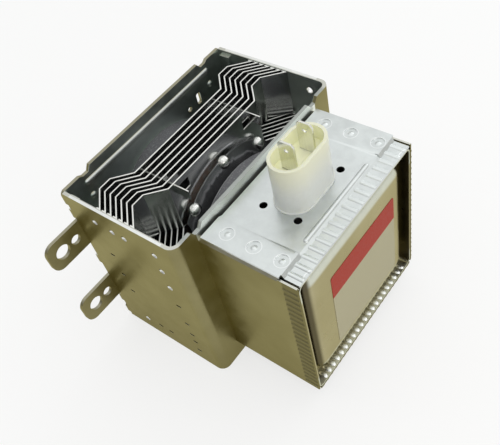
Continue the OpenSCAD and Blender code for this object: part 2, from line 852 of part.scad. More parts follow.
// Dished plate between the tube and the filter-side magnet, with pips round its rim and a flat on each side
module magnet_retainer() {
    slope_r = anode_r + fin_t;
    tilt = atan2(dish_depth, dish_r - slope_r);
    pip_at = dish_r - pip_in;
    color([0.1, 0.1, 0.11])
        translate([stack_x1 - dish_t / 2, 0, 0])
            intersection() {
                about_x()
                    union() {
                        rotate_extrude()
                            polygon(folded([[hole_r, 0], [slope_r, 0], [dish_r, -dish_depth]], dish_t));
                        for (top = [0, 180], k = [-1, 0, 1])
                            rotate([0, 0, top + 180 + k * pip_angle])
                                translate([pip_at, 0, -(pip_at - slope_r) * tan(tilt)])
                                    rotate([0, tilt, 0])
                                        difference() {
                                            sphere(pip_r);
                                            translate([0, 0, -pip_r])
                                                cube(2 * pip_r, center = true);
                                        }
                    }
                cube([4 * magnet_t, 2 * dish_flat_half, 4 * dish_r], center = true);
            }
}

// Tube

module anode_cylinder() {
    color(COPPER)
        ring_x(anode_x0, anode_x1, anode_r, anode_bore);
}

// Seats of the strap rings at both ends of the vanes, widened by gap
module strap_seats(gap) {
    for (end = [-1, 1], r = [strap_r, strap_r + 2 * strap_w])
        translate([tube_mid + end * (vane_len / 2 - strap_w / 2), 0, 0])
            ring_x(-strap_w / 2 - gap, strap_w / 2 + gap, r + strap_w + gap, r - gap);
}

module anode_vanes() {
    color(COPPER)
        difference() {
            intersection() {
                for (k = [0 : vane_count - 1])
                    rotate([k * 360 / vane_count, 0, 0])
                        translate([tube_mid - vane_len / 2, -vane_t / 2, vane_tip_r])
                            cube([vane_len, vane_t, anode_bore]);
                ring_x(anode_x0, anode_x1, anode_bore - fit_gap, vane_tip_r);
            }
            strap_seats(fit_gap);
        }
}

module strap_rings() {
    color(COPPER)
        strap_seats(0);
}

// A funnel-shaped pole piece, drawn from the tube's outside inwards
module pole_piece() {
    color("slategray")
        about_x()
            rotate_extrude()
                polygon([
                    [anode_r, 0],
                    [anode_r, pole_t],
                    [funnel_r, pole_t],
                    [pole_hole_r + pole_t, pole_t + pole_depth],
                    [pole_hole_r, pole_t + pole_depth],
                    [pole_hole_r, pole_depth],
                    [funnel_r - pole_t, 0]
                ]);
}

module pole_piece_antenna_side() {
    translate([pole_x0, 0, 0])
        pole_piece();
}

module pole_piece_filter_side() {
    translate([pole_x1, 0, 0])
        mirror([1, 0, 0])
            pole_piece();
}

// A seal can: a flange on the pole piece and a neck that ends in a lip, drawn from the flange outwards
module seal_can(len) {
    lip_r = ceramic_r - ceramic_wall;
    color("silver")
        about_x()
            rotate_extrude()
                polygon([
                    [neck_r - seal_t, -seal_t],
                    [seal_flange_r, -seal_t],
                    [seal_flange_r, 0],
                    [neck_r, 0],
                    [neck_r, len],
                    [lip_r, len],
                    [lip_r, len - seal_t],
                    [neck_r - seal_t, len - seal_t]
                ]);
}

module seal_can_antenna_side() {
    translate([stack_x0, 0, 0])
        mirror([1, 0, 0])
            seal_can(stack_x0 + neck_out);
}

module seal_can_filter_side() {
    translate([pole_x1 + seal_t, 0, 0])
        seal_can(neck_x1 - pole_x1 - seal_t);
}

module antenna_insulator() {
    color("ivory")
        ring_x(cap_x0, antenna_x, ceramic_r, ceramic_r - ceramic_wall);
}

// The cap's half section with a rounded end, drawn from its rim to its tip
module cap_section(r, len, round) {
    square([r - round, len]);
    square([r, len - round]);
    intersection() {
        translate([r - round, len - round])
            circle(round);
        square([r, len]);
    }
}

module antenna_cap() {
    color("silver")
        translate([cap_x0, 0, 0])
            mirror([1, 0, 0])
                about_x()
                    rotate_extrude()
                        difference() {
                            cap_section(cap_r, cap_len, cap_round);
                            translate([0, -over])
                                cap_section(cap_r - cap_wall, cap_len - cap_wall + over, cap_round - cap_wall);
                        }
}

// Copper tube that the antenna lead ends in, pinched flat at its tip
module exhaust_tube() {
    color(COPPER) {
        ring_x(pinch_x1, cap_x0 + exhaust_in, exhaust_r, lead_w * sqrt(2) / 2 + fit_gap);
        translate([pinch_x0, -pinch_t / 2, -exhaust_r])
            cube([pinch_len, pinch_t, 2 * exhaust_r]);
    }
}

// Lead from one vane through the pole piece to the exhaust tube
module antenna_lead() {
    pass_z = pole_hole_r - lead_w - pass_gap;
    rise_x = hat_x0 - 2 * hat_t;
    vane_x = tube_mid - vane_len / 2;
    vane_z = strap_r + 3 * strap_w + lead_w / 2 + pass_gap;
    color(COPPER)
        rotate([90, 0, 0])
            linear_extrude(lead_w, center = true)
                polygon(folded([
                    [pinch_x1, 0],
                    [sheet_t, 0],
                    [stack_x0, pass_z],
                    [rise_x, pass_z],
                    [rise_x, vane_z],
                    [vane_x - fit_gap, vane_z]
                ], lead_w));
}

// Ring of knitted wire round the neck, with rounded edges where it meets the waveguide
module mesh_gasket() {
    bore_r = neck_r + fit_gap;
    width = gasket_r - bore_r;
    color("goldenrod")
        translate([-gasket_t, 0, 0])
            about_x()
                rotate_extrude() {
                    translate([bore_r, gasket_round])
                        square([width, gasket_t - gasket_round]);
                    translate([bore_r + gasket_round, 0])
                        square([width - 2 * gasket_round, gasket_t]);
                    for (r = [bore_r + gasket_round, gasket_r - gasket_round])
                        translate([r, gasket_round])
                            circle(gasket_round);
                }
}

// The filament's winding between the end hats
module cathode_filament() {
    len = hat_x1 - hat_x0 - hat_t - 2 * fit_gap;
    turns = floor((len - 2 * filament_wire_r) / filament_pitch);
    start = (len - turns * filament_pitch) / 2;
    color("gray")
        translate([hat_x0 + hat_t / 2 + fit_gap, 0, 0])
            about_x()
                rotate_extrude() {
                    translate([filament_r - filament_wire_r / 2, 0])
                        square([filament_wire_r, len]);
                    for (k = [0 : turns])
                        translate([filament_r, start + k * filament_pitch])
                            circle(filament_wire_r);
                }
}

module end_hat_antenna_side() {
    color("slategray")
        ring_x(hat_x0 - hat_t / 2, hat_x0 + hat_t / 2, hat_r, rod_r + fit_gap);
}

module end_hat_filter_side() {
    color("slategray")
        difference() {
            ring_x(hat_x1 - hat_t / 2, hat_x1 + hat_t / 2, hat_r, rod_r + pass_gap);
            translate([hat_x1, -side_rod_y, 0])
                about_x()
                    cylinder(h = hat_t, r = rod_r + fit_gap);
        }
}

module cathode_centre_rod() {
    color("gray")
        rod([hat_x0 - hat_t / 2, 0, 0], [rod_end, 0, 0], rod_r);
}

module cathode_side_rod() {
    color("gray")
        rod([hat_x1 + fit_gap, -side_rod_y, 0], [rod_end, -side_rod_y, 0], rod_r);
}

// Ceramic cup that closes the filter-side neck and carries the two rods
module stem_insulator() {
    color("ivory")
        difference() {
            ring_x(neck_x1, stem_x1, ceramic_r, rod_r + fit_gap);
            translate([neck_x1 - over, 0, 0])
                about_x()
                    cylinder(h = over + stem_cup, r = ceramic_r - ceramic_wall);
            translate([neck_x1, -side_rod_y, 0])
                about_x()
                    cylinder(h = stem_len + over, r = rod_r + fit_gap);
        }
}

// Filter box

// Places of crimp ribs along an edge of the given length
function crimp_places(len, pitch) =
    let (n = floor((len - 2 * crimp_end) / pitch))
    [for (k = [0 : n]) (k - n / 2) * pitch];

// Crimp ribs side by side along Y, standing out of a face at height z that looks along +Z
module crimp_ribs(len, z, pitch, rise, r) {
    for (y = crimp_places(len, pitch))
        translate([crimp_x0, y, z])
            intersection() {
                translate([0, 0, rise - r])
                    about_x()
                        cylinder(h = crimp_len, r = r);
                translate([0, -r, -box_t / 2])
                    cube([crimp_len, 2 * r, 2 * r]);
            }
}

module shell_ribs(len, z) {
    crimp_ribs(len, z, shell_crimp_pitch, shell_crimp_h, shell_crimp_r);
}

// Outline of the shell across the tube: two sides and the bottom, with the upper edges turned in
module shell_section() {
    side = box_half_w - box_t / 2;
    flange_z = strip_z - box_t;
    bottom = -box_half_h + box_t / 2;
    r = box_bend_r;
    polygon(folded([
        [-strip_y - flange_short, flange_z],
        [-side + r, flange_z],
        [-side, flange_z - r],
        [-side, bottom + r],
        [-side + r, bottom],
        [side - r, bottom],
        [side, bottom + r],
        [side, flange_z - r],
        [side - r, flange_z],
        [strip_y + flange_short, flange_z]
    ], box_t));
}

module filter_box_shell() {
    rear_h = box_h - 2 * box_t - rear_drop;
    front_x0 = ramp_x0 - box_t;
    front_len = box_x1 - front_x0;
    above = 2 * top_rise + 2 * box_t;
    color(STEEL)
        difference() {
            union() {
                along_x(box_x0, box_x1)
                    shell_section();
                along_x(box_x0, box_x0 + box_t)
                    translate([0, (rear_h - box_h + box_t) / 2])
                        rounded_rect(box_w - box_t, rear_h, box_bend_r);
                for (s = [-1, 1]) {
                    translate([front_x0, s * (box_half_w - box_t / 2) - box_t / 2, 0])
                        cube([front_len, box_t, box_half_h]);
                    rotate([-s * 90, 0, 0])
                        shell_ribs(box_h - 2 * box_t, box_half_w);
                }
                rotate([180, 0, 0])
                    shell_ribs(box_w, box_half_h);
            }
            translate([box_x0 - over, 0, 0])
                about_x()
                    cylinder(h = box_t + 2 * over, r = hole_r);
            translate([box_x0 - over, -box_half_w + 2 * box_t, panel_under - sheet_gap])
                cube([over + top_gap, box_w - 4 * box_t, above]);
            translate([front_x0, -box_half_w + box_t, edge_under - sheet_gap])
                cube([front_len + over, box_w - 2 * box_t, above]);
            translate([front_x0, -box_half_w - over, box_half_h])
                cube([front_len + over, box_w + 2 * over, above]);
            for (s = [-1, 1])
                translate([crimp_x0, s * (box_half_w - crimp_end / 2) - box_t / 2, -box_half_h - over])
                    cube([crimp_len + over, box_t, crimp_end + over]);
        }
}

// Places of the clinch joints that hold the top plate on the shell's flanges
module at_clinches() {
    for (s = [-1, 1], k = [-1, 0, 1])
        translate([box_x0 + clinch_x + k * clinch_pitch, s * (box_half_w - clinch_in), strip_z + box_t / 2])
            children();
}

// Front end of the top plate, from y0 to y1: it comes down from height z to the crimped edge
module top_front(y0, y1, z) {
    translate([0, (y0 + y1) / 2, 0])
        rotate([90, 0, 0])
            linear_extrude(y1 - y0, center = true)
                polygon(folded([
                    [ramp_x0 - over, z],
                    [ramp_x0, z],
                    [crimp_x0, edge_z],
                    [box_x1, edge_z]
                ], box_t));
}

module filter_box_top() {
    edge_half = box_half_w - box_t / 2;
    front_half = box_half_w - box_t - top_edge_gap;
    color(ZINC)
        difference() {
            union() {
                along_x(box_x0 + top_gap, ramp_x0)
                    polygon(folded([
                        [-edge_half, strip_z],
                        [-strip_y, strip_z],
                        [-strip_y + strip_ramp, panel_z],
                        [strip_y - strip_ramp, panel_z],
                        [strip_y, strip_z],
                        [edge_half, strip_z]
                    ], box_t));
                top_front(-strip_y, strip_y, panel_z);
                top_front(-front_half, box_t - strip_y, strip_z);
                top_front(strip_y - box_t, front_half, strip_z);
                translate([ramp_x0 - bead_r, 0, panel_top - bead_r / 2])
                    bead(bead_len, bead_r);
                crimp_ribs(2 * front_half, box_half_h, crimp_pitch, crimp_h, crimp_r);
            }
            at_clinches()
                difference() {
                    translate([0, 0, -clinch_depth])
                        cylinder(h = clinch_depth + over, r = clinch_r);
                    translate([0, 0, -clinch_dome_r])
                        sphere(clinch_dome_r);
                }
            translate([cap_cx, 0, panel_under - over])
                linear_extrude(box_t + 2 * over)
                    stadium(collar_r + fit_gap, cup_half);
            for (sx = [-1, 1], sy = [-1, 1])
                translate([box_x0 + vent_x + sx * vent_dx / 2, sy * vent_dy / 2, panel_under - over])
                    cylinder(h = box_t + 2 * over, r = vent_r);
        }
}

// Shallow pan inside the crimped edge, with a raised panel in its middle
module filter_box_lid() {
    panel_w = lid_w - 2 * panel_inset;
    panel_h = lid_h - 2 * panel_inset;
    height = box_x1 - panel_behind - lid_x0;
    color(STEEL)
        translate([lid_x0, 0, 0])
            rotate([90, 0, 90])
                difference() {
                    union() {
                        linear_extrude(lid_t)
                            rounded_rect(lid_w, lid_h, lid_corner_r);
                        linear_extrude(box_x1 - lid_x0 - sheet_gap)
                            difference() {
                                rounded_rect(lid_w, lid_h, lid_corner_r);
                                rounded_rect(lid_w - 2 * lid_t, lid_h - 2 * lid_t, lid_corner_r - lid_t);
                            }
                        translate([0, 0, lid_t / 2])
                            pillow(panel_w, panel_h, height - lid_t / 2, panel_corner_r, panel_edge_r);
                    }
                    translate([0, 0, -over])
                        pillow(
                            panel_w - 2 * lid_t,
                            panel_h - 2 * lid_t,
                            height - lid_t + over,
                            panel_corner_r - lid_t,
                            panel_edge_r - lid_t
                        );
                }
}

// Capacitor

// A tapered body with round ends, drawn upwards from its foot
module tapered_stadium(r0, r1, height) {
    for (s = [-1, 1])
        translate([0, s * cup_half, 0])
            cylinder(h = height, r1 = r0, r2 = r1);
    rotate([90, 0, 0])
        linear_extrude(2 * cup_half, center = true)
            polygon([[-r0, 0], [r0, 0], [r1, height], [-r1, height]]);
}

// Holes through the housing and its base for the terminals' rods and blades, from z0 to z1
module terminal_holes(z0, z1) {
    for (s = [-1, 1]) {
        translate([cap_cx, s * cup_half, z0])
            cylinder(h = z1 - z0, r = blade_rod_r + fit_gap);
        translate([cap_cx, s * cup_half, (blade_foot + rim_top) / 2])
            cube([blade_w + 2 * fit_gap, blade_t + 2 * fit_gap, rim_top - blade_foot], center = true);
    }
}

module capacitor_housing() {
    color("ivory")
        difference() {
            union() {
                translate([cap_cx, 0, panel_top]) {
                    tapered_stadium(housing_foot_r, housing_r, housing_h);
                    linear_extrude(foot_h)
                        stadium(housing_foot_r + foot_out, cup_half);
                }
                translate([cap_cx, 0, panel_under])
                    linear_extrude(2 * box_t)
                        stadium(collar_r, cup_half);
            }
            translate([cap_cx, 0, cup_floor])
                linear_extrude(cup_depth + over)
                    stadium(housing_r - housing_wall, cup_half);
            terminal_holes(panel_under - over, blade_foot + fit_gap);
        }
}

module capacitor_base() {
    wall = housing_wall;
    color("ivory")
        difference() {
            translate([cap_cx, 0, base_z])
                linear_extrude(base_h)
                    stadium(base_r, cup_half);
            translate([cap_cx, 0, base_z + wall])
                linear_extrude(base_h - 2 * wall)
                    stadium(base_r - wall, cup_half);
            terminal_holes(base_z - over, panel_under + over);
        }
}

// Ceramic block with a bore for each rod, in the base
module capacitor_ceramic() {
    gap = housing_wall + fit_gap;
    color("linen")
        difference() {
            translate([cap_cx, 0, base_z + gap])
                linear_extrude(base_h - 2 * gap)
                    stadium(base_r - gap, cup_half);
            terminal_holes(base_z, panel_under);
        }
}

// A terminal: a blade above and a round rod below
module terminal(s) {
    half = blade_w / 2;
    c = blade_chamfer;
    color("silver")
        translate([cap_cx, s * cup_half, 0])
            difference() {
                union() {
                    rotate([90, 0, 0])
                        linear_extrude(blade_t, center = true)
                            polygon([
                                [-half, blade_foot],
                                [half, blade_foot],
                                [half, blade_top - c],
                                [half - c, blade_top],
                                [-half + c, blade_top],
                                [-half, blade_top - c]
                            ]);
                    translate([0, 0, blade_rod_z])
                        cylinder(h = blade_foot - blade_rod_z, r = blade_rod_r);
                }
                translate([0, 0, blade_top - blade_hole_drop])
                    rotate([90, 0, 0])
                        cylinder(h = 2 * blade_t, r = blade_hole_r, center = true);
            }
}

module terminal_near() {
    terminal(-1);
}

module terminal_far() {
    terminal(1);
}

// Chokes

// A close-wound coil that stands upright, with a lead to the stem and a lead to the capacitor
module choke_coil(s, stem_y) {
    foot = [choke_cx - coil_r, s * choke_y, -coil_len / 2];
    head = [choke_cx - coil_r, s * choke_y, coil_len / 2];
    stem_end = [rod_end + solder_r + fit_gap, stem_y, 0];
    cap_end = [cap_cx, s * cup_half, blade_rod_z - solder_r - fit_gap];
    color(COPPER) {
        translate([choke_cx, s * choke_y, -coil_len / 2])
            rotate_extrude() {
                for (k = [0 : coil_turns - 1])
                    translate([coil_r, k * coil_pitch])
                        circle(coil_wire_r);
                translate([coil_r - coil_web / 2, 0])
                    square([coil_web, coil_len]);
            }
        rod(foot, stem_end, coil_lead_r);
        rod(head, cap_end, coil_lead_r);
        for (p = [stem_end, cap_end])
            translate(p)
                sphere(solder_r);
    }
}

module choke_coil_near() {
    choke_coil(-1, -side_rod_y);
}

module choke_coil_far() {
    choke_coil(1, 0);
}

module ferrite_core(s) {
    len = coil_len + 2 * core_out;
    color("dimgray")
        translate([choke_cx, s * choke_y, -len / 2])
            cylinder(h = len, r = core_r);
}

module ferrite_core_near() {
    ferrite_core(-1);
}

module ferrite_core_far() {
    ferrite_core(1);
}

yoke_plate();
yoke_frame();
for (i = [1 : fin_count])
    cooling_fin(i);
magnet_antenna_side();
magnet_filter_side();
magnet_retainer();
anode_cylinder();
anode_vanes();
strap_rings();
pole_piece_antenna_side();
pole_piece_filter_side();
seal_can_antenna_side();
seal_can_filter_side();
antenna_insulator();
antenna_cap();
exhaust_tube();
antenna_lead();
mesh_gasket();
cathode_filament();
end_hat_antenna_side();
end_hat_filter_side();
cathode_centre_rod();
cathode_side_rod();
stem_insulator();
filter_box_shell();
filter_box_top();
filter_box_lid();
capacitor_housing();
capacitor_base();
capacitor_ceramic();
terminal_near();
terminal_far();
choke_coil_near();
choke_coil_far();
ferrite_core_near();
ferrite_core_far();
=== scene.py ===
# Looks of an oven magnetron: sheet edges, finishes, sticker, crimps, gasket wires, light and camera
import json
import math

import bmesh
import bpy
from mathutils import Matrix, Quaternion, Vector

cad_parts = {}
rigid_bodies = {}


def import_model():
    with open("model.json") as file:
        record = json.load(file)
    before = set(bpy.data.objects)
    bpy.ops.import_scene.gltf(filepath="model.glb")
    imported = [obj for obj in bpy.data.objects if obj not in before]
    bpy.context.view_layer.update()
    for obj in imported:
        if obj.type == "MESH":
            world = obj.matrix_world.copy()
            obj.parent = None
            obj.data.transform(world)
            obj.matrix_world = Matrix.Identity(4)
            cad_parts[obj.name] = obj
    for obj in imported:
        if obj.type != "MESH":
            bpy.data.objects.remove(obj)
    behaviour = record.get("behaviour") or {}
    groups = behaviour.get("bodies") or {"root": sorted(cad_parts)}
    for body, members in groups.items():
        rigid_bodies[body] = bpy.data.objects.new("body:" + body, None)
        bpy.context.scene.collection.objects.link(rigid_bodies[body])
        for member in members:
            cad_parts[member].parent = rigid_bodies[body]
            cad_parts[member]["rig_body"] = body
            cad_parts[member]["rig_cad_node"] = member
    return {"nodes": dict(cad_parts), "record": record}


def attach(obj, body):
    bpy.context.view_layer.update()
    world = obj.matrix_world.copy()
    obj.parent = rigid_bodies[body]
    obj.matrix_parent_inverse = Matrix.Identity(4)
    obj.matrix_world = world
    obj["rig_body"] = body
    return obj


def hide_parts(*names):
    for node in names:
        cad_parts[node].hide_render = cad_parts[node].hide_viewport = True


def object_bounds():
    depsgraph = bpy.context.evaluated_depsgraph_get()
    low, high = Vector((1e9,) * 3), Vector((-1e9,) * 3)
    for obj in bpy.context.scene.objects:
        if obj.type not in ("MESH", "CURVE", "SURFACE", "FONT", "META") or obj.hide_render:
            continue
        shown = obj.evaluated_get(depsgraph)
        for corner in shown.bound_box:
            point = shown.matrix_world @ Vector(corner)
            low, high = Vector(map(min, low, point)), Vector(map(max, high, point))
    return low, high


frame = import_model()
cad_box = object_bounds()

MM = 0.001
PARTS = frame["nodes"]

# Camera of the photograph, in millimetres and degrees
CAMERA_PLACE = (183.7, -120.5, 209.7)
CAMERA_AIM = (45.73, -0.44, -2.36)
CAMERA_ROLL = -15.68
IMAGE_WIDTH = 500
IMAGE_HEIGHT = 445
FOCAL_PIXELS = 676.8
CENTRE_PIXEL = (252.6, 224.95)
SENSOR = 36.0

# Places on the model, in millimetres
WALL_MIDDLE = 46.3
PLATE_MIDDLE = 1.2
YOKE_DEPTH = 57.5
BOX_HALF = 36.2
BOX_TOP = 34.8
CUP_X = 77.0
CUP_FLOOR = 50.2
CUP_FOOT = 36.1
CUP_RIM = 56.2
CLINCH_X = 77.3
CLINCH_Y = 30.0
CLINCH_PITCH = 11.4
CLINCH_R = 2.6
CRIMP_X = 92.5
PANEL_X = 97.3
RIB_FOOT = 1.8
RIB_Z = 36.2
RIB_HALF = 39.0

# Where the punched marks are dimples and not slits: above a height, at the rear above a place and
# in front below a place, each place as X and Z
DIMPLES_ABOVE = 16.0
REAR_DIMPLES = (40.0, 5.0)
LOW_DIMPLES = (20.0, -28.0)

# Softened copies: how near points are welded in millimetres, the angles in degrees up to which faces
# are merged and from which edges count as sharp, and the segments of a rounding
WELD = 0.002
FLAT_ANGLE = 0.5
SHARP_ANGLE = 32.0
ROUNDING_SEGMENTS = 2

# Added pieces: the angle in degrees from which their edges are shaded sharp
ADDED_ANGLE = 40.0

# Floor: its size in metres, and the share of it that is plain white where it is seen
FLOOR_SIZE = 6.0
FLOOR_GLOW = 0.7


# Shader trees

def add(tree, kind, settings=None, **inputs):
    """A node of a tree, with its settings and with its inputs set or linked by name."""
    made = tree.nodes.new(kind)
    for key, value in (settings or {}).items():
        setattr(made, key, value)
    for key, value in inputs.items():
        feed(tree, value, made.inputs[key.replace("_", " ")])
    return made


def feed(tree, value, socket):
    """Links a socket to an input, or writes a plain value on it."""
    if isinstance(value, bpy.types.NodeSocket):
        tree.links.new(value, socket)
    else:
        socket.default_value = value


def rgb(red, green, blue):
    return (red, green, blue, 1.0)


def blend(tree, factor, first, second):
    """A colour between two colours."""
    made = add(tree, "ShaderNodeMix", {"data_type": "RGBA"})
    feed(tree, factor, made.inputs[0])
    feed(tree, first, made.inputs[6])
    feed(tree, second, made.inputs[7])
    return made.outputs[2]


def span(tree, value, low, high, to_low=0.0, to_high=1.0):
    """A value moved smoothly from one range to another."""
    made = add(
        tree, "ShaderNodeMapRange", {"interpolation_type": "SMOOTHSTEP"},
        Value=value, From_Min=low, From_Max=high, To_Min=to_low, To_Max=to_high,
    )
    return made.outputs["Result"]


def maths(tree, operation, first, second=0.0):
    made = add(tree, "ShaderNodeMath", {"operation": operation})
    feed(tree, first, made.inputs[0])
    feed(tree, second, made.inputs[1])
    return made.outputs["Value"]


def product(tree, values):
    """Values multiplied together."""
    result = values[0]
    for value in values[1:]:
        result = maths(tree, "MULTIPLY", result, value)
    return result


def object_place(tree):
    return add(tree, "ShaderNodeTexCoord").outputs["Object"]


def axes(tree, vector):
    """The three parts of a vector."""
    return add(tree, "ShaderNodeSeparateXYZ", Vector=vector).outputs


def past(tree, value, place, soft=0.1):
    """1 past a place in millimetres, and 0 before it."""
    return span(tree, value, (place - soft) * MM, (place + soft) * MM)


def before(tree, value, place, soft=0.1):
    """1 before a place in millimetres, and 0 past it."""
    return span(tree, value, (place - soft) * MM, (place + soft) * MM, 1.0, 0.0)


def between(tree, value, low, high, soft=0.2):
    """1 between two places in millimetres, and 0 outside them."""
    return maths(tree, "MULTIPLY", past(tree, value, low, soft), before(tree, value, high, soft))


def noise(tree, place, size, detail=3.0, roughness=0.55):
    """Soft noise with features of about the given size, in metres."""
    made = add(
        tree, "ShaderNodeTexNoise",
        Vector=place, Scale=1.0 / size, Detail=detail, Roughness=roughness,
    )
    return made.outputs["Fac"]


def new_group(name, inputs, outputs):
    """An empty node group: inputs are a name, a socket type and a value, and outputs are names."""
    group = bpy.data.node_groups.new(name, "ShaderNodeTree")
    for label, kind, value in inputs:
        socket = group.interface.new_socket(label, in_out="INPUT", socket_type=kind)
        socket.default_value = value
    for label in outputs:
        group.interface.new_socket(label, in_out="OUTPUT", socket_type="NodeSocketFloat")
    return group, group.nodes.new("NodeGroupInput"), group.nodes.new("NodeGroupOutput")


def use(tree, group, **inputs):
    """A placed node group with its own values."""
    return add(tree, "ShaderNodeGroup", {"node_tree": group}, **inputs)


def make_plating():
    """Zinc plating: broad stains, a cloudy bloom and a fine grain."""
    group, _, out = new_group("plating", [], ["Stain", "Cloud", "Grain"])
    place = object_place(group)
    stain = noise(group, place, 26 * MM, 2.0)
    cloud = noise(group, place, 5 * MM, 4.0, 0.65)
    feed(group, span(group, stain, 0.32, 0.7), out.inputs["Stain"])
    feed(group, span(group, cloud, 0.25, 0.75), out.inputs["Cloud"])
    feed(group, noise(group, place, 0.5 * MM, 2.0), out.inputs["Grain"])
    return group


def make_rolling():
    """Lines left by rolling or drawing, stretched by a vector that is small along them."""
    group, source, out = new_group(
        "rolling lines", [("Stretch", "NodeSocketVector", (1.0, 1.0, 1.0))], ["Line"]
    )
    place = add(group, "ShaderNodeVectorMath", {"operation": "MULTIPLY"})
    feed(group, object_place(group), place.inputs[0])
    feed(group, source.outputs["Stretch"], place.inputs[1])
    feed(group, noise(group, place.outputs["Vector"], 0.5 * MM, 3.0), out.inputs["Line"])
    return group


def make_upward():
    """Mask of the faces that look up, such as the cut edges of the sheets."""
    group, _, out = new_group("upward faces", [], ["Mask"])
    normal = add(group, "ShaderNodeNewGeometry").outputs["Normal"]
    feed(group, span(group, axes(group, normal)["Z"], 0.55, 0.92), out.inputs["Mask"])
    return group


def make_yoke_inside():
    """Mask of the yoke's inner faces, which are painted grey-green as a reflection."""
    group, _, out = new_group("yoke inside", [], ["Mask"])
    place = axes(group, object_place(group))
    inset, soft = 0.15, 0.06
    across = between(group, place["Y"], inset - WALL_MIDDLE, WALL_MIDDLE - inset, soft)
    along = between(group, place["X"], PLATE_MIDDLE, YOKE_DEPTH - PLATE_MIDDLE - inset, soft)
    feed(group, maths(group, "MULTIPLY", across, along), out.inputs["Mask"])
    return group


def make_lower_shade():
    """Mask of the painted shade, a brown that deepens towards the lower edges."""
    group, _, out = new_group("lower painted shade", [], ["Mask"])
    low, high, deepest = -45.0, -5.0, 0.6
    height = axes(group, object_place(group))["Z"]
    feed(group, span(group, height, low * MM, high * MM, deepest, 0.0), out.inputs["Mask"])
    return group


def make_above_box_sheen():
    """Mask of the yoke's wall just above the filter box, painted pale as a reflection."""
    group, _, out = new_group("painted sheen on the wall above the box", [], ["Mask"])
    place = axes(group, object_place(group))
    skin, height = 0.2, 10.0
    masks = [
        between(group, place["X"], YOKE_DEPTH - PLATE_MIDDLE, YOKE_DEPTH + skin),
        between(group, place["Y"], -BOX_HALF, BOX_HALF),
        between(group, place["Z"], BOX_TOP, BOX_TOP + height),
    ]
    feed(group, product(group, masks), out.inputs["Mask"])
    return group


def make_cup_inside_glow():
    """Mask of the inside of the capacitor's cup, which is painted with a glow: its floor and what
    looks at its middle.
    """
    group, _, out = new_group("painted glow in the cup", [], ["Mask"])
    outward = add(group, "ShaderNodeVectorMath", {"operation": "SUBTRACT"})
    feed(group, object_place(group), outward.inputs[0])
    outward.inputs[1].default_value = (CUP_X * MM, 0.0, 0.0)
    across = add(group, "ShaderNodeVectorMath", {"operation": "MULTIPLY"})
    feed(group, outward.outputs["Vector"], across.inputs[0])
    across.inputs[1].default_value = (1.0, 0.5, 0.0)
    facing = add(group, "ShaderNodeVectorMath", {"operation": "DOT_PRODUCT"})
    feed(group, across.outputs["Vector"], facing.inputs[0])
    feed(group, add(group, "ShaderNodeNewGeometry").outputs["Normal"], facing.inputs[1])
    walls = span(group, facing.outputs["Value"], -2.0 * MM, 0.0, 1.0, 0.0)
    height = axes(group, object_place(group))["Z"]
    level = between(group, height, CUP_FLOOR - 0.4, CUP_FLOOR + 0.4, 0.1)
    floor = maths(group, "MULTIPLY", level, use(group, UPWARD).outputs["Mask"])
    feed(group, maths(group, "MAXIMUM", walls, floor), out.inputs["Mask"])
    return group


def make_rear_rim_shade():
    """Mask of the upper rim of the yoke's filter-side wall, painted darker than the other rims as
    shade.
    """
    group, _, out = new_group("painted shade on rear rim", [], ["Mask"])
    place = axes(group, object_place(group))
    thick, skin, corner, soft = 2.5, 0.4, 3.0, 1.0
    masks = [
        between(group, place["X"], YOKE_DEPTH - thick, YOKE_DEPTH + skin),
        between(group, place["Y"], corner - WALL_MIDDLE, WALL_MIDDLE - corner, soft),
        use(group, UPWARD).outputs["Mask"],
    ]
    feed(group, product(group, masks), out.inputs["Mask"])
    return group


def make_crimped_edge():
    """Mask of the shell's crimped front edge."""
    group, _, out = new_group("crimped edge", [], ["Mask"])
    length, soft = 10.0, 0.3
    along = axes(group, object_place(group))["X"]
    feed(group, between(group, along, CRIMP_X, CRIMP_X + length, soft), out.inputs["Mask"])
    return group


def make_punch_light_and_shade():
    """Masks of the painted highlight on the upward halves of the dimples in the yoke's side walls,
    and of the painted shade on their other halves and in the slits.
    """
    group, _, out = new_group("painted light and shade in the punches", [], ["Bright", "Dark"])
    place = axes(group, object_place(group))
    inner, outer, soft = WALL_MIDDLE + 0.1, WALL_MIDDLE + 1.15, 0.03
    first, last = 5.0, YOKE_DEPTH - 6.0
    depth = between(group, maths(group, "ABSOLUTE", place["Y"]), inner, outer, soft)
    field = between(group, place["X"], first, last)
    recess = maths(group, "MULTIPLY", depth, field)
    upper = past(group, place["Z"], DIMPLES_ABOVE)
    rear = maths(
        group, "MULTIPLY",
        past(group, place["X"], REAR_DIMPLES[0]), past(group, place["Z"], REAR_DIMPLES[1]),
    )
    corner = maths(
        group, "MULTIPLY",
        before(group, place["X"], LOW_DIMPLES[0]), before(group, place["Z"], LOW_DIMPLES[1]),
    )
    dimples = maths(group, "MAXIMUM", upper, maths(group, "MAXIMUM", rear, corner))
    lean = axes(group, add(group, "ShaderNodeNewGeometry").outputs["Normal"])["Z"]
    lit = maths(group, "MULTIPLY", dimples, span(group, lean, -0.25, 0.05))
    feed(group, maths(group, "MULTIPLY", recess, lit), out.inputs["Bright"])
    unlit = maths(group, "SUBTRACT", 1.0, lit)
    feed(group, maths(group, "MULTIPLY", recess, unlit), out.inputs["Dark"])
    return group


def make_rib_highlight():
    """Mask of the painted highlight along the rib pressed in the antenna-side plate, on its inner
    face.
    """
    group, _, out = new_group("rib", [], ["Mask"])
    place = axes(group, object_place(group))
    rise, below, above, soft = 3.0, 1.3, 2.0, 0.1
    masks = [
        between(group, place["X"], RIB_FOOT, RIB_FOOT + rise, soft),
        between(group, place["Y"], -RIB_HALF, RIB_HALF),
        between(group, place["Z"], RIB_Z - below, RIB_Z + above),
    ]
    feed(group, product(group, masks), out.inputs["Mask"])
    return group


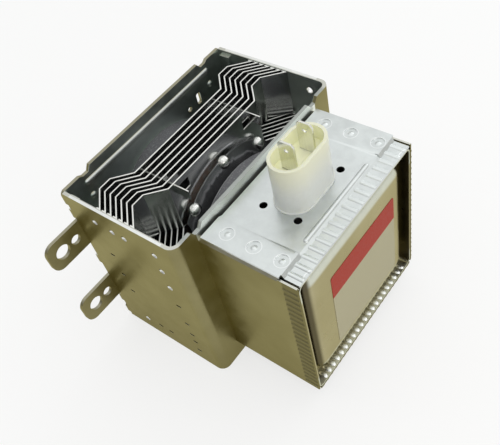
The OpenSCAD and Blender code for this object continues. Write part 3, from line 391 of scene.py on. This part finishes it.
def make_box_inside_shade():
    """Mask of the filter box's inner faces, painted dark as shade."""
    group, _, out = new_group("painted shade in the box", [], ["Mask"])
    place = axes(group, object_place(group))
    rear, wall, top, soft = 0.5, 0.4, 0.6, 0.1
    masks = [
        between(group, place["X"], YOKE_DEPTH + rear, CRIMP_X),
        between(group, place["Y"], wall - BOX_HALF, BOX_HALF - wall, soft),
        between(group, place["Z"], wall - BOX_TOP, BOX_TOP - top, soft),
    ]
    feed(group, product(group, masks), out.inputs["Mask"])
    return group


def make_lid_shade_and_highlight():
    """Masks of the painted shade in the recess round the lid's raised panel and on its side
    roundings, and of the painted highlight on the panel's upper and lower border.
    """
    group, _, out = new_group("painted shade and highlight on the lid", [], ["Recess shade", "Border highlight"])
    place = axes(group, object_place(group))
    normal = axes(group, add(group, "ShaderNodeNewGeometry").outputs["Normal"])
    front = past(group, place["X"], PANEL_X - 1.5, 0.5)
    deep = span(group, maths(group, "ABSOLUTE", normal["X"]), 0.55, 0.75, 1.0, 0.0)
    aside = span(group, maths(group, "ABSOLUTE", normal["Y"]), 0.2, 0.5)
    not_under = span(group, normal["Z"], -0.6, -0.3)
    flank_shade = maths(group, "MULTIPLY", deep, not_under)
    feed(group, maths(group, "MAXIMUM", flank_shade, aside), out.inputs["Recess shade"])
    border = past(group, maths(group, "ABSOLUTE", place["Z"]), 26.0, 1.0)
    feed(group, maths(group, "MULTIPLY", front, border), out.inputs["Border highlight"])
    return group


def make_chamfer_highlight():
    """Mask of the faces that lie aslant to the tube's axis, such as ground chamfers, which get a
    painted highlight.
    """
    group, _, out = new_group("chamfers", [], ["Mask"])
    normal = axes(group, add(group, "ShaderNodeNewGeometry").outputs["Normal"])
    slant = maths(group, "ABSOLUTE", normal["X"])
    leaning = span(group, slant, 0.2, 0.4)
    not_flat = span(group, slant, 0.88, 0.97, 1.0, 0.0)
    feed(group, maths(group, "MULTIPLY", leaning, not_flat), out.inputs["Mask"])
    return group


def make_clinch_highlight():
    """Mask of the painted highlight on the rims of the clinched joints on the top plate."""
    group, _, out = new_group("painted highlight on clinch rims", [], ["Mask"])
    place = axes(group, object_place(group))
    first = (CLINCH_X - 1.5 * CLINCH_PITCH) * MM
    step = maths(group, "MODULO", maths(group, "SUBTRACT", place["X"], first), CLINCH_PITCH * MM)
    along = maths(group, "SUBTRACT", step, CLINCH_PITCH / 2 * MM)
    across = maths(group, "SUBTRACT", maths(group, "ABSOLUTE", place["Y"]), CLINCH_Y * MM)
    squares = [maths(group, "MULTIPLY", way, way) for way in (along, across)]
    radius = maths(group, "SQRT", maths(group, "ADD", *squares))
    ring = between(group, radius, CLINCH_R - 0.1, CLINCH_R + 0.25, 0.12)
    feed(group, ring, out.inputs["Mask"])
    return group


def make_speckle():
    """Fine light grains, as on sintered or moulded surfaces."""
    group, source, out = new_group(
        "speckle", [("Size", "NodeSocketFloat", 0.4 * MM)], ["Grain", "Fleck"]
    )
    scale = maths(group, "DIVIDE", 1.0, source.outputs["Size"])
    place = object_place(group)
    grain = add(group, "ShaderNodeTexNoise", Vector=place, Scale=scale, Detail=3.0)
    feed(group, grain.outputs["Fac"], out.inputs["Grain"])
    feed(group, span(group, grain.outputs["Fac"], 0.52, 0.7), out.inputs["Fleck"])
    return group


PLATING = make_plating()
ROLLING = make_rolling()
UPWARD = make_upward()
YOKE_INSIDE = make_yoke_inside()
ABOVE_BOX_SHEEN = make_above_box_sheen()
CUP_INSIDE_GLOW = make_cup_inside_glow()
LOWER_SHADE = make_lower_shade()
REAR_RIM_SHADE = make_rear_rim_shade()
CRIMPED_EDGE = make_crimped_edge()
PUNCH_LIGHT_AND_SHADE = make_punch_light_and_shade()
RIB_HIGHLIGHT = make_rib_highlight()
BOX_INSIDE_SHADE = make_box_inside_shade()
LID_SHADE_AND_HIGHLIGHT = make_lid_shade_and_highlight()
CHAMFER_HIGHLIGHT = make_chamfer_highlight()
CLINCH_HIGHLIGHT = make_clinch_highlight()
SPECKLE = make_speckle()


def finish_of(name):
    """A new material: its tree and its shader."""
    material = bpy.data.materials.new(name)
    material.use_nodes = True
    return material, material.node_tree, material.node_tree.nodes["Principled BSDF"]


def bump(tree, shader, height, depth):
    """Gives a shader a relief of the given depth in metres."""
    made = add(tree, "ShaderNodeBump", Height=height, Distance=depth, Strength=1.0)
    tree.links.new(made.outputs["Normal"], shader.inputs["Normal"])


def zinc_sheet(name, dark, light, edge, rough, tint, regions=(), marks=()):
    """Zinc-plated steel with stains, paler on cut edges and on every face that looks up: bare metal
    on the cut edges and a painted reflection of the sky on all upward faces.

    Regions lie under the cut edges and marks over them: each is a mask's group, output and colour.
    """
    material, tree, shader = finish_of(name)
    plating = use(tree, PLATING)
    colour = blend(tree, plating.outputs["Stain"], dark, light)
    # The upward faces take the edge colour: bare cut edges, and a painted reflection of the sky on
    # every face that looks up
    for group, output, other in [*regions, (UPWARD, "Mask", edge), *marks]:
        colour = blend(tree, use(tree, group).outputs[output], colour, other)
    bloom = span(tree, plating.outputs["Cloud"], 0.0, 1.0, 0.93, 1.0)
    shaded = add(tree, "ShaderNodeVectorMath", {"operation": "SCALE"}, Scale=bloom)
    feed(tree, colour, shaded.inputs[0])
    feed(tree, shaded.outputs["Vector"], shader.inputs["Base Color"])
    spread = span(tree, plating.outputs["Cloud"], 0.0, 1.0, rough - 0.03, rough + 0.05)
    feed(tree, spread, shader.inputs["Roughness"])
    shader.inputs["Metallic"].default_value = 1.0
    shader.inputs["Specular Tint"].default_value = tint
    bump(tree, shader, plating.outputs["Grain"], 0.0025 * MM)
    return material


def drawn_metal(name, dark, light, rough, stretch, relief=0.006):
    """Bright metal with fine lines from rolling, drawing or turning."""
    material, tree, shader = finish_of(name)
    lines = use(tree, ROLLING, Stretch=stretch)
    colour = blend(tree, span(tree, lines.outputs["Line"], 0.3, 0.7), dark, light)
    feed(tree, colour, shader.inputs["Base Color"])
    spread = span(tree, lines.outputs["Line"], 0.25, 0.75, rough - 0.05, rough + 0.08)
    feed(tree, spread, shader.inputs["Roughness"])
    shader.inputs["Metallic"].default_value = 1.0
    bump(tree, shader, lines.outputs["Line"], relief * MM)
    return material


def fin_metal():
    """Bright aluminium sheet whose cut edges are whiter and duller than its faces."""
    material, tree, shader = finish_of("fin aluminium")
    lines = use(tree, ROLLING, Stretch=(1.0, 0.06, 1.0))
    upward = use(tree, UPWARD).outputs["Mask"]
    face = blend(tree, lines.outputs["Line"], rgb(0.6, 0.61, 0.6), rgb(0.74, 0.75, 0.74))
    feed(tree, blend(tree, upward, face, rgb(0.8, 0.8, 0.77)), shader.inputs["Base Color"])
    feed(tree, span(tree, upward, 0.0, 1.0, 0.2, 0.45), shader.inputs["Roughness"])
    shader.inputs["Metallic"].default_value = 1.0
    bump(tree, shader, lines.outputs["Line"], 0.003 * MM)
    return material


def sintered(name, base, fleck, edge, rough):
    """Ground ferrite and fired ceramic with fine flecks, paler on its chamfers as a painted
    highlight; also the near-black capacitor base, which is painted shade.
    """
    material, tree, shader = finish_of(name)
    speckle = use(tree, SPECKLE, Size=0.5 * MM)
    body = blend(tree, speckle.outputs["Fleck"], base, fleck)
    # Painted highlight on the chamfers
    colour = blend(tree, use(tree, CHAMFER_HIGHLIGHT).outputs["Mask"], body, edge)
    feed(tree, colour, shader.inputs["Base Color"])
    spread = span(tree, speckle.outputs["Grain"], 0.3, 0.7, rough - 0.06, rough + 0.1)
    feed(tree, spread, shader.inputs["Roughness"])
    bump(tree, shader, speckle.outputs["Grain"], 0.02 * MM)
    return material


def blackened():
    """Smooth dark plate with a gloss and faint wiping streaks."""
    material, tree, shader = finish_of("blackened plate")
    streak = use(tree, ROLLING, Stretch=(0.02, 0.12, 0.12)).outputs["Line"]
    colour = blend(tree, streak, rgb(0.28, 0.28, 0.29), rgb(0.42, 0.42, 0.43))
    feed(tree, colour, shader.inputs["Base Color"])
    feed(tree, span(tree, streak, 0.3, 0.7, 0.16, 0.24), shader.inputs["Roughness"])
    shader.inputs["Metallic"].default_value = 0.9
    shader.inputs["Coat Weight"].default_value = 0.3
    shader.inputs["Coat Roughness"].default_value = 0.1
    return material


def moulded_ivory():
    """Slightly translucent plastic: grey at its foot, yellower round the cup, and palest yellow in it
    as a painted glow of light through its thin walls.
    """
    material, tree, shader = finish_of("ivory plastic")
    speckle = use(tree, SPECKLE, Size=1.6 * MM)
    height = axes(tree, object_place(tree))["Z"]
    foot = blend(tree, speckle.outputs["Grain"], rgb(0.62, 0.64, 0.61), rgb(0.7, 0.72, 0.69))
    top = span(tree, height, (CUP_FOOT + 6.0) * MM, CUP_RIM * MM)
    outside = blend(tree, top, foot, rgb(0.72, 0.72, 0.57))
    # Painted glow: the inside of the cup is paler and yellower
    colour = blend(tree, use(tree, CUP_INSIDE_GLOW).outputs["Mask"], outside, rgb(0.92, 0.92, 0.68))
    feed(tree, colour, shader.inputs["Base Color"])
    spread = span(tree, speckle.outputs["Grain"], 0.3, 0.7, 0.3, 0.42)
    feed(tree, spread, shader.inputs["Roughness"])
    shader.inputs["Subsurface Weight"].default_value = 0.3
    shader.inputs["Subsurface Radius"].default_value = (1.0, 0.97, 0.6)
    shader.inputs["Subsurface Scale"].default_value = 1.5 * MM
    bump(tree, shader, speckle.outputs["Grain"], 0.008 * MM)
    return material


def sticker_paper(band_low, band_high):
    """Glazed paper: a cream field with a red band between two heights, in millimetres."""
    material, tree, shader = finish_of("sticker paper")
    place = object_place(tree)
    fibre = noise(tree, place, 0.8 * MM, 4.0, 0.6)
    cream = blend(tree, fibre, rgb(0.363, 0.333, 0.21), rgb(0.425, 0.394, 0.258))
    red = blend(tree, fibre, rgb(0.31, 0.022, 0.008), rgb(0.37, 0.032, 0.012))
    band = between(tree, axes(tree, place)["Z"], band_low, band_high, 0.05)
    feed(tree, blend(tree, band, cream, red), shader.inputs["Base Color"])
    feed(tree, span(tree, fibre, 0.3, 0.7, 0.42, 0.54), shader.inputs["Roughness"])
    shader.inputs["Specular IOR Level"].default_value = 0.15
    bump(tree, shader, fibre, 0.004 * MM)
    return material


OLIVE = rgb(0.76, 0.72, 0.52)
WHITE = rgb(1.0, 1.0, 1.0)
# Paler cut edges, and a painted reflection of the sky on all upward faces
CUT_EDGE_AND_SKY_SHEEN = rgb(0.62, 0.62, 0.57)
# A dimmer, browner copy of that colour for the plate's rims: painted shade
PLATE_EDGE_DIM_SHEEN = rgb(0.36, 0.34, 0.25)
DARK_KHAKI = rgb(0.26, 0.232, 0.112)
LIGHT_KHAKI = rgb(0.312, 0.282, 0.142)
# Painted shade: brown that deepens towards the lower edges
LOWER_SHADE_BROWN = rgb(0.17, 0.145, 0.062)
# Painted reflection: the inner faces of the yoke and plate are grey-green in place of khaki
INNER_REFLECTION_GREY = rgb(0.54, 0.6, 0.57)
# Painted highlight in the dimples
PUNCH_HIGHLIGHT = rgb(0.85, 0.86, 0.85)
# Painted shade: near black in slits, on the unlit halves of the dimples and inside the filter box
PAINTED_SHADE_DARK = rgb(0.03, 0.028, 0.02)
KHAKI = zinc_sheet(
    "khaki zinc", DARK_KHAKI, LIGHT_KHAKI, CUT_EDGE_AND_SKY_SHEEN, 0.35, OLIVE,
    [(LOWER_SHADE, "Mask", LOWER_SHADE_BROWN), (CRIMPED_EDGE, "Mask", rgb(0.19, 0.17, 0.085))],
    # Painted shade: the inside of the filter box is near black
    [(BOX_INSIDE_SHADE, "Mask", PAINTED_SHADE_DARK)],
)
YOKE = zinc_sheet(
    "khaki zinc yoke", DARK_KHAKI, LIGHT_KHAKI, CUT_EDGE_AND_SKY_SHEEN, 0.35, OLIVE,
    [
        (LOWER_SHADE, "Mask", LOWER_SHADE_BROWN),
        (YOKE_INSIDE, "Mask", INNER_REFLECTION_GREY),
        # Painted reflection: the wall just above the box is near-white zinc in place of khaki
        (ABOVE_BOX_SHEEN, "Mask", rgb(0.88, 0.92, 0.89)),
    ],
    [
        # Painted shade: the filter-side wall's rim is darker than the near rims
        (REAR_RIM_SHADE, "Mask", rgb(0.4, 0.42, 0.4)),
        # Painted highlight and painted shade in the dimples and slits
        (PUNCH_LIGHT_AND_SHADE, "Bright", PUNCH_HIGHLIGHT),
        (PUNCH_LIGHT_AND_SHADE, "Dark", PAINTED_SHADE_DARK),
    ],
)
PLATE = zinc_sheet(
    "khaki zinc plate", DARK_KHAKI, LIGHT_KHAKI, PLATE_EDGE_DIM_SHEEN, 0.35, OLIVE,
    [(LOWER_SHADE, "Mask", LOWER_SHADE_BROWN), (YOKE_INSIDE, "Mask", INNER_REFLECTION_GREY)],
    # Painted highlight along the rib
    [(RIB_HIGHLIGHT, "Mask", rgb(0.6, 0.62, 0.61))],
)
# Painted light: the lid's khaki zinc is a lighter copy of the shell's, with a paler edge colour
LID_PAINTED_LIGHTER = zinc_sheet(
    "khaki zinc lid painted lighter", rgb(0.42, 0.38, 0.23), rgb(0.48, 0.44, 0.28), rgb(0.7, 0.69, 0.6),
    0.3, OLIVE,
    [
        # Painted highlight on the panel's upper and lower border, and painted shade in the recess and
        # on the side roundings
        (LID_SHADE_AND_HIGHLIGHT, "Border highlight", rgb(0.66, 0.68, 0.585)),
        (LID_SHADE_AND_HIGHLIGHT, "Recess shade", rgb(0.11, 0.095, 0.06)),
    ],
)
PALE = zinc_sheet(
    "pale zinc", rgb(0.62, 0.65, 0.645), rgb(0.72, 0.75, 0.745), rgb(0.66, 0.69, 0.685),
    # Painted highlight on the rims of the clinched joints
    0.31, WHITE, marks=[(CLINCH_HIGHLIGHT, "Mask", rgb(0.84, 0.86, 0.86))],
)
EVEN = (1.0, 1.0, 1.0)
# Painted reflection: the crimp beads are near white, standing for light glancing off the lid's rim
CRIMP_SHEEN = drawn_metal("crimped zinc painted bright", rgb(0.8, 0.81, 0.8), rgb(0.9, 0.91, 0.9), 0.3, EVEN)
# Painted shade: the capacitor's base, seen only through the vents, is near black as the shade inside
# the box
BASE_PAINTED_SHADE = sintered(
    "capacitor base painted dark as shade", rgb(0.045, 0.04, 0.036), rgb(0.07, 0.065, 0.06), rgb(0.055, 0.05, 0.046), 0.5
)
FIN = fin_metal()
FERRITE = sintered(
    "ferrite", rgb(0.1, 0.1, 0.108), rgb(0.23, 0.23, 0.24), rgb(0.45, 0.45, 0.46), 0.44
)
CERAMIC = sintered(
    "fired ceramic", rgb(0.78, 0.72, 0.68), rgb(0.86, 0.82, 0.79), rgb(0.84, 0.79, 0.75), 0.5
)
BLACK = blackened()
PIP = drawn_metal("polished pip", rgb(0.62, 0.62, 0.6), rgb(0.74, 0.74, 0.72), 0.14, EVEN)
COPPER = drawn_metal(
    "copper", rgb(0.5, 0.29, 0.2), rgb(0.62, 0.38, 0.28), 0.36, (0.08, 1.0, 1.0)
)
POLE = drawn_metal(
    "pole steel", rgb(0.34, 0.34, 0.36), rgb(0.48, 0.48, 0.5), 0.36, (0.3, 1.0, 1.0)
)
CAN = drawn_metal(
    "plated can", rgb(0.56, 0.55, 0.53), rgb(0.7, 0.69, 0.66), 0.24, (1.0, 0.1, 0.1)
)
MESH = drawn_metal("mesh wire", rgb(0.52, 0.41, 0.2), rgb(0.7, 0.58, 0.34), 0.34, EVEN)
TUNGSTEN = drawn_metal(
    "tungsten", rgb(0.22, 0.22, 0.23), rgb(0.33, 0.33, 0.34), 0.4, (0.1, 1.0, 1.0)
)
IVORY = moulded_ivory()
TINNED = drawn_metal(
    "tinned brass", rgb(0.74, 0.74, 0.68), rgb(0.8, 0.8, 0.75), 0.16, (1.0, 1.0, 0.08), 0.002
)

SLOT_FINISH = {
    "khaki_zinc_steel": KHAKI,
    "bright_zinc_steel": PALE,
    "fin_aluminium": FIN,
    "ferrite_magnet": FERRITE,
    "black_steel": BLACK,
    "copper": COPPER,
    "pole_steel": POLE,
    "plated_can": CAN,
    "white_ceramic": CERAMIC,
    "mesh_brass": MESH,
    "tungsten": TUNGSTEN,
    "ivory_plastic": IVORY,
    "tinned_brass": TINNED,
}
NODE_FINISH = {
    "yoke_plate": PLATE,
    "yoke_frame": YOKE,
    "filter_box_lid": LID_PAINTED_LIGHTER,
    "capacitor_base": BASE_PAINTED_SHADE,
}
NODE_SLOT = {row["node"]: row["material_slot"] for row in frame["record"]["subparts"]}


def paint(piece, *materials):
    piece.data.materials.clear()
    for material in materials:
        piece.data.materials.append(material)


for part_name, part in PARTS.items():
    paint(part, NODE_FINISH.get(part_name, SLOT_FINISH[NODE_SLOT[part_name]]))


# Modelling

def only(piece):
    """Makes a piece the only selected and active object."""
    bpy.ops.object.select_all(action="DESELECT")
    piece.select_set(True)
    bpy.context.view_layer.objects.active = piece


def widen_border(piece):
    """Widens the round border of the lid's raised panel, staying within 0.6 mm of the solid."""
    half_y, half_z, corner, foot = 31.3, 30.5, 6.0, 94.25
    wider, slack, core = 1.7, 0.1, 1.0
    for vertex in piece.data.vertices:
        along, across, up = vertex.co / MM
        if along < foot or abs(across) > half_y + slack or abs(up) > half_z + slack:
            continue
        core_y = max(corner - half_y, min(half_y - corner, across))
        core_z = max(corner - half_z, min(half_z - corner, up))
        out = Vector((across - core_y, up - core_z))
        if out.length > core:
            out *= (corner - wider * (corner - out.length)) / out.length
            vertex.co = Vector((along, core_y + out.x, core_z + out.y)) * MM


def soften(name, width, reshape=None):
    """A smooth copy of a part, which stands for it, with sharp edges rounded by a width above 0."""
    only(PARTS[name])
    bpy.ops.object.duplicate()
    piece = bpy.context.object
    piece.name = name + "_softened"
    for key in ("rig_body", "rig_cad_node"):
        del piece[key]
    piece.parent = None
    only(piece)
    bpy.ops.object.mode_set(mode="EDIT")
    bpy.ops.mesh.select_all(action="SELECT")
    bpy.ops.mesh.remove_doubles(threshold=WELD * MM)
    bpy.ops.mesh.dissolve_limited(angle_limit=math.radians(FLAT_ANGLE))
    bpy.ops.object.mode_set(mode="OBJECT")
    if reshape:
        reshape(piece)
    if width:
        rounding = piece.modifiers.new("rounding", "BEVEL")
        rounding.width = width * MM
        rounding.segments = ROUNDING_SEGMENTS
        rounding.limit_method = "ANGLE"
        rounding.angle_limit = math.radians(SHARP_ANGLE)
        rounding.miter_outer = "MITER_ARC"
        rounding.use_clamp_overlap = True
        bpy.ops.object.modifier_apply(modifier=rounding.name)
    bpy.ops.object.shade_smooth_by_angle(angle=math.radians(SHARP_ANGLE))
    flattened = piece.modifiers.new("flat faces", "WEIGHTED_NORMAL")
    flattened.keep_sharp = True
    flattened.weight = 90
    bpy.ops.object.modifier_apply(modifier=flattened.name)
    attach(piece, "root")
    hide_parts(name)
    return piece


SOFT_EDGES = {
    "yoke_plate": 0.18,
    "yoke_frame": 0.18,
    "filter_box_shell": 0.12,
    "filter_box_top": 0.12,
    "filter_box_lid": 0.0,
    "capacitor_housing": 0.3,
    "magnet_retainer": 0.1,
    "terminal_near": 0.1,
    "terminal_far": 0.1,
}
SOFT_EDGES.update({name: 0.16 for name in PARTS if name.startswith("cooling_fin")})
RESHAPED = {"filter_box_lid": widen_border}
softened = {name: soften(name, width, RESHAPED.get(name)) for name, width in SOFT_EDGES.items()}


def polish_pips(piece):
    """Gives the retainer's pips a polished finish."""
    along, out_from_axis, radius = 38.7 * MM, 31.25 * MM, 2.75 * MM
    centres = []
    for turn in (-40, 0, 40, 140, 180, 220):
        side = math.sin(math.radians(turn))
        up = math.cos(math.radians(turn))
        centres.append(Vector((along, out_from_axis * side, out_from_axis * up)))
    paint(piece, BLACK, PIP)
    for face in piece.data.polygons:
        if any((face.center - centre).length < radius for centre in centres):
            face.material_index = 1


def piece_from(shape, name, material):
    """Makes a mesh an object that rides on the part."""
    mesh = bpy.data.meshes.new(name)
    shape.to_mesh(mesh)
    shape.free()
    piece = bpy.data.objects.new(name, mesh)
    bpy.context.scene.collection.objects.link(piece)
    paint(piece, material)
    only(piece)
    bpy.ops.object.shade_smooth_by_angle(angle=math.radians(ADDED_ANGLE))
    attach(piece, "root")


def lay_sticker():
    """A bare sticker with round corners on the raised panel of the lid."""
    low, high = (-18.0, -24.8), (24.7, 17.5)
    band_low, band_high = 5.5, 18.0
    thick, radius, steps = 0.12, 1.2, 6
    corners = [
        (high[0] - radius, high[1] - radius, 0),
        (low[0] + radius, high[1] - radius, 90),
        (low[0] + radius, low[1] + radius, 180),
        (high[0] - radius, low[1] + radius, 270),
    ]
    shape = bmesh.new()
    outline = []
    for across, up, start in corners:
        for step in range(steps + 1):
            turn = math.radians(start + 90 * step / steps)
            place = (PANEL_X, across + radius * math.cos(turn), up + radius * math.sin(turn))
            outline.append(shape.verts.new(Vector(place) * MM))
    sheet = shape.faces.new(outline)
    raised = bmesh.ops.extrude_face_region(shape, geom=[sheet])
    moved = [item for item in raised["geom"] if isinstance(item, bmesh.types.BMVert)]
    bmesh.ops.translate(shape, vec=(thick * MM, 0.0, 0.0), verts=moved)
    bmesh.ops.recalc_face_normals(shape, faces=shape.faces[:])
    piece_from(shape, "sticker", sticker_paper(band_low, band_high))


def press_crimps():
    """Beads that the crimping tool leaves on the lower and upper inner faces of the lid's rim."""
    middle, rim_z, pitch, count = 96.2, 33.9, 3.0, 21
    size = Vector((2.1, 1.1, 0.5)) * MM
    shape = bmesh.new()
    for index in range(count):
        along_rim = (index - (count - 1) / 2) * pitch
        for height in (-rim_z, rim_z):
            place = Vector((middle, along_rim, height)) * MM
            fit = Matrix.Translation(place) @ Matrix.Diagonal((*size, 1.0))
            bmesh.ops.create_uvsphere(shape, u_segments=12, v_segments=8, radius=1.0, matrix=fit)
    piece_from(shape, "lid_crimps", CRIMP_SHEEN)


def gasket_section(way):
    """Place of a point on the gasket's skin in millimetres: along the tube and out from its axis."""
    front, outside, bore, rounding = -4.6, 16.8, 9.55, 1.15
    flat = outside - bore - 2 * rounding
    arc = rounding * math.pi / 2
    if way < flat:
        return front, bore + rounding + way
    if way < flat + arc:
        turn = (way - flat) / rounding
        return front + rounding * (1 - math.cos(turn)), outside - rounding * (1 - math.sin(turn))
    return front + rounding + way - flat - arc, outside


def knit_gasket():
    """Wires knitted round the gasket's core."""
    strands, waves, steps, wire = 9, 56, 448, 0.17
    first, gap, sway, corner, lift_share = 0.35, 1.02, 0.75, 5.8, 0.8
    curve = bpy.data.curves.new("gasket_wires", "CURVE")
    curve.dimensions = "3D"
    curve.bevel_depth = wire * MM
    curve.bevel_resolution = 1
    for strand in range(strands):
        spline = curve.splines.new("POLY")
        spline.points.add(steps - 1)
        spline.use_cyclic_u = True
        for step, point in enumerate(spline.points):
            turn = 2 * math.pi * step / steps
            phase = waves * turn + math.pi * (strand % 2)
            way = first + gap * strand + sway * (0.5 + 0.5 * math.sin(phase))
            along, radius = gasket_section(way)
            lift = wire * lift_share * math.cos(phase + strand)
            radius += lift if way > corner else 0.0
            along -= lift if way <= corner else 0.0
            place = Vector((along, radius * math.sin(turn), radius * math.cos(turn))) * MM
            point.co = (*place, 1.0)
    wires = bpy.data.objects.new("gasket_wires", curve)
    bpy.context.scene.collection.objects.link(wires)
    only(wires)
    bpy.ops.object.convert(target="MESH")
    wires = bpy.context.object
    paint(wires, MESH)
    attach(wires, "root")


polish_pips(softened["magnet_retainer"])
lay_sticker()
press_crimps()
knit_gasket()


# Light, floor and camera

def soft_box(name, place, aim, width, height, power, tint):
    """A large rectangular lamp that looks at a point."""
    data = bpy.data.lights.new(name, "AREA")
    data.shape = "RECTANGLE"
    data.size = width
    data.size_y = height
    data.energy = power
    data.color = tint
    lamp = bpy.data.objects.new(name, data)
    bpy.context.scene.collection.objects.link(lamp)
    lamp.location = place
    lamp.rotation_euler = (Vector(aim) - Vector(place)).to_track_quat("-Z", "Y").to_euler()


def seen_directly(tree):
    """1 where seen by the camera, in a reflection or through glass, and 0 where it gives light."""
    path = add(tree, "ShaderNodeLightPath").outputs
    rays = maths(tree, "MAXIMUM", path["Is Camera Ray"], path["Is Glossy Ray"])
    return maths(tree, "MAXIMUM", rays, path["Is Transmission Ray"])


def lay_floor(height):
    """A plain pale floor that keeps the object's shadow."""
    bpy.ops.object.select_all(action="DESELECT")
    bpy.ops.mesh.primitive_plane_add(size=FLOOR_SIZE, location=(0.0, 0.0, height))
    floor = bpy.context.object
    floor.name = "floor"
    material, tree, shader = finish_of("pale floor")
    shader.inputs["Base Color"].default_value = rgb(0.82, 0.82, 0.81)
    shader.inputs["Roughness"].default_value = 0.9
    shader.inputs["Specular IOR Level"].default_value = 0.1
    glow = add(tree, "ShaderNodeEmission", Color=WHITE, Strength=1.0)
    share = maths(tree, "MULTIPLY", seen_directly(tree), FLOOR_GLOW)
    mixed = add(tree, "ShaderNodeMixShader")
    feed(tree, share, mixed.inputs[0])
    feed(tree, shader.outputs["BSDF"], mixed.inputs[1])
    feed(tree, glow.outputs["Emission"], mixed.inputs[2])
    feed(tree, mixed.outputs["Shader"], tree.nodes["Material Output"].inputs["Surface"])
    paint(floor, material)


def light_world():
    """A soft sky: bright overhead, and dimmer towards the horizon and the near side."""
    world = bpy.data.worlds.new("studio")
    bpy.context.scene.world = world
    world.use_nodes = True
    tree = world.node_tree
    direction = add(tree, "ShaderNodeTexCoord").outputs["Generated"]
    height = axes(tree, direction)["Z"]
    sky = blend(tree, span(tree, height, 0.0, 0.9), rgb(0.62, 0.61, 0.58), rgb(0.98, 1.0, 1.0))
    feed(tree, sky, tree.nodes["Background"].inputs["Color"])
    side = axes(tree, direction)["Y"]
    feed(tree, span(tree, side, -0.9, 0.2, 0.5, 1.0), tree.nodes["Background"].inputs["Strength"])


def place_camera():
    data = bpy.data.cameras.new("camera")
    camera = bpy.data.objects.new("camera", data)
    bpy.context.scene.collection.objects.link(camera)
    place = Vector(CAMERA_PLACE) * MM
    line = Vector(CAMERA_AIM) * MM - place
    turn = Quaternion((0.0, 0.0, 1.0), math.radians(CAMERA_ROLL))
    camera.location = place
    camera.rotation_mode = "QUATERNION"
    camera.rotation_quaternion = line.to_track_quat("-Z", "Y") @ turn
    data.sensor_width = SENSOR
    data.lens = SENSOR * FOCAL_PIXELS / IMAGE_WIDTH
    data.shift_x = (IMAGE_WIDTH / 2 - CENTRE_PIXEL[0]) / IMAGE_WIDTH
    data.shift_y = (CENTRE_PIXEL[1] - IMAGE_HEIGHT / 2) / IMAGE_WIDTH
    data.clip_start = 0.01
    bpy.context.scene.camera = camera


middle = (cad_box[0] + cad_box[1]) / 2
lay_floor(cad_box[0].z)
light_world()
soft_box(
    "key", (0.2, -0.1, 0.75), middle,
    width=1.6, height=1.6, power=3.0, tint=(1.0, 0.99, 0.97),
)
soft_box(
    "fill", (0.85, -0.35, 0.38), middle,
    width=0.8, height=0.6, power=1.6, tint=(1.0, 0.97, 0.92),
)
soft_box(
    "back", (0.1, 0.8, 0.4), middle,
    width=0.8, height=0.5, power=1.2, tint=(0.96, 0.98, 1.0),
)
place_camera()
bpy.context.scene.view_settings.view_transform = "Standard"
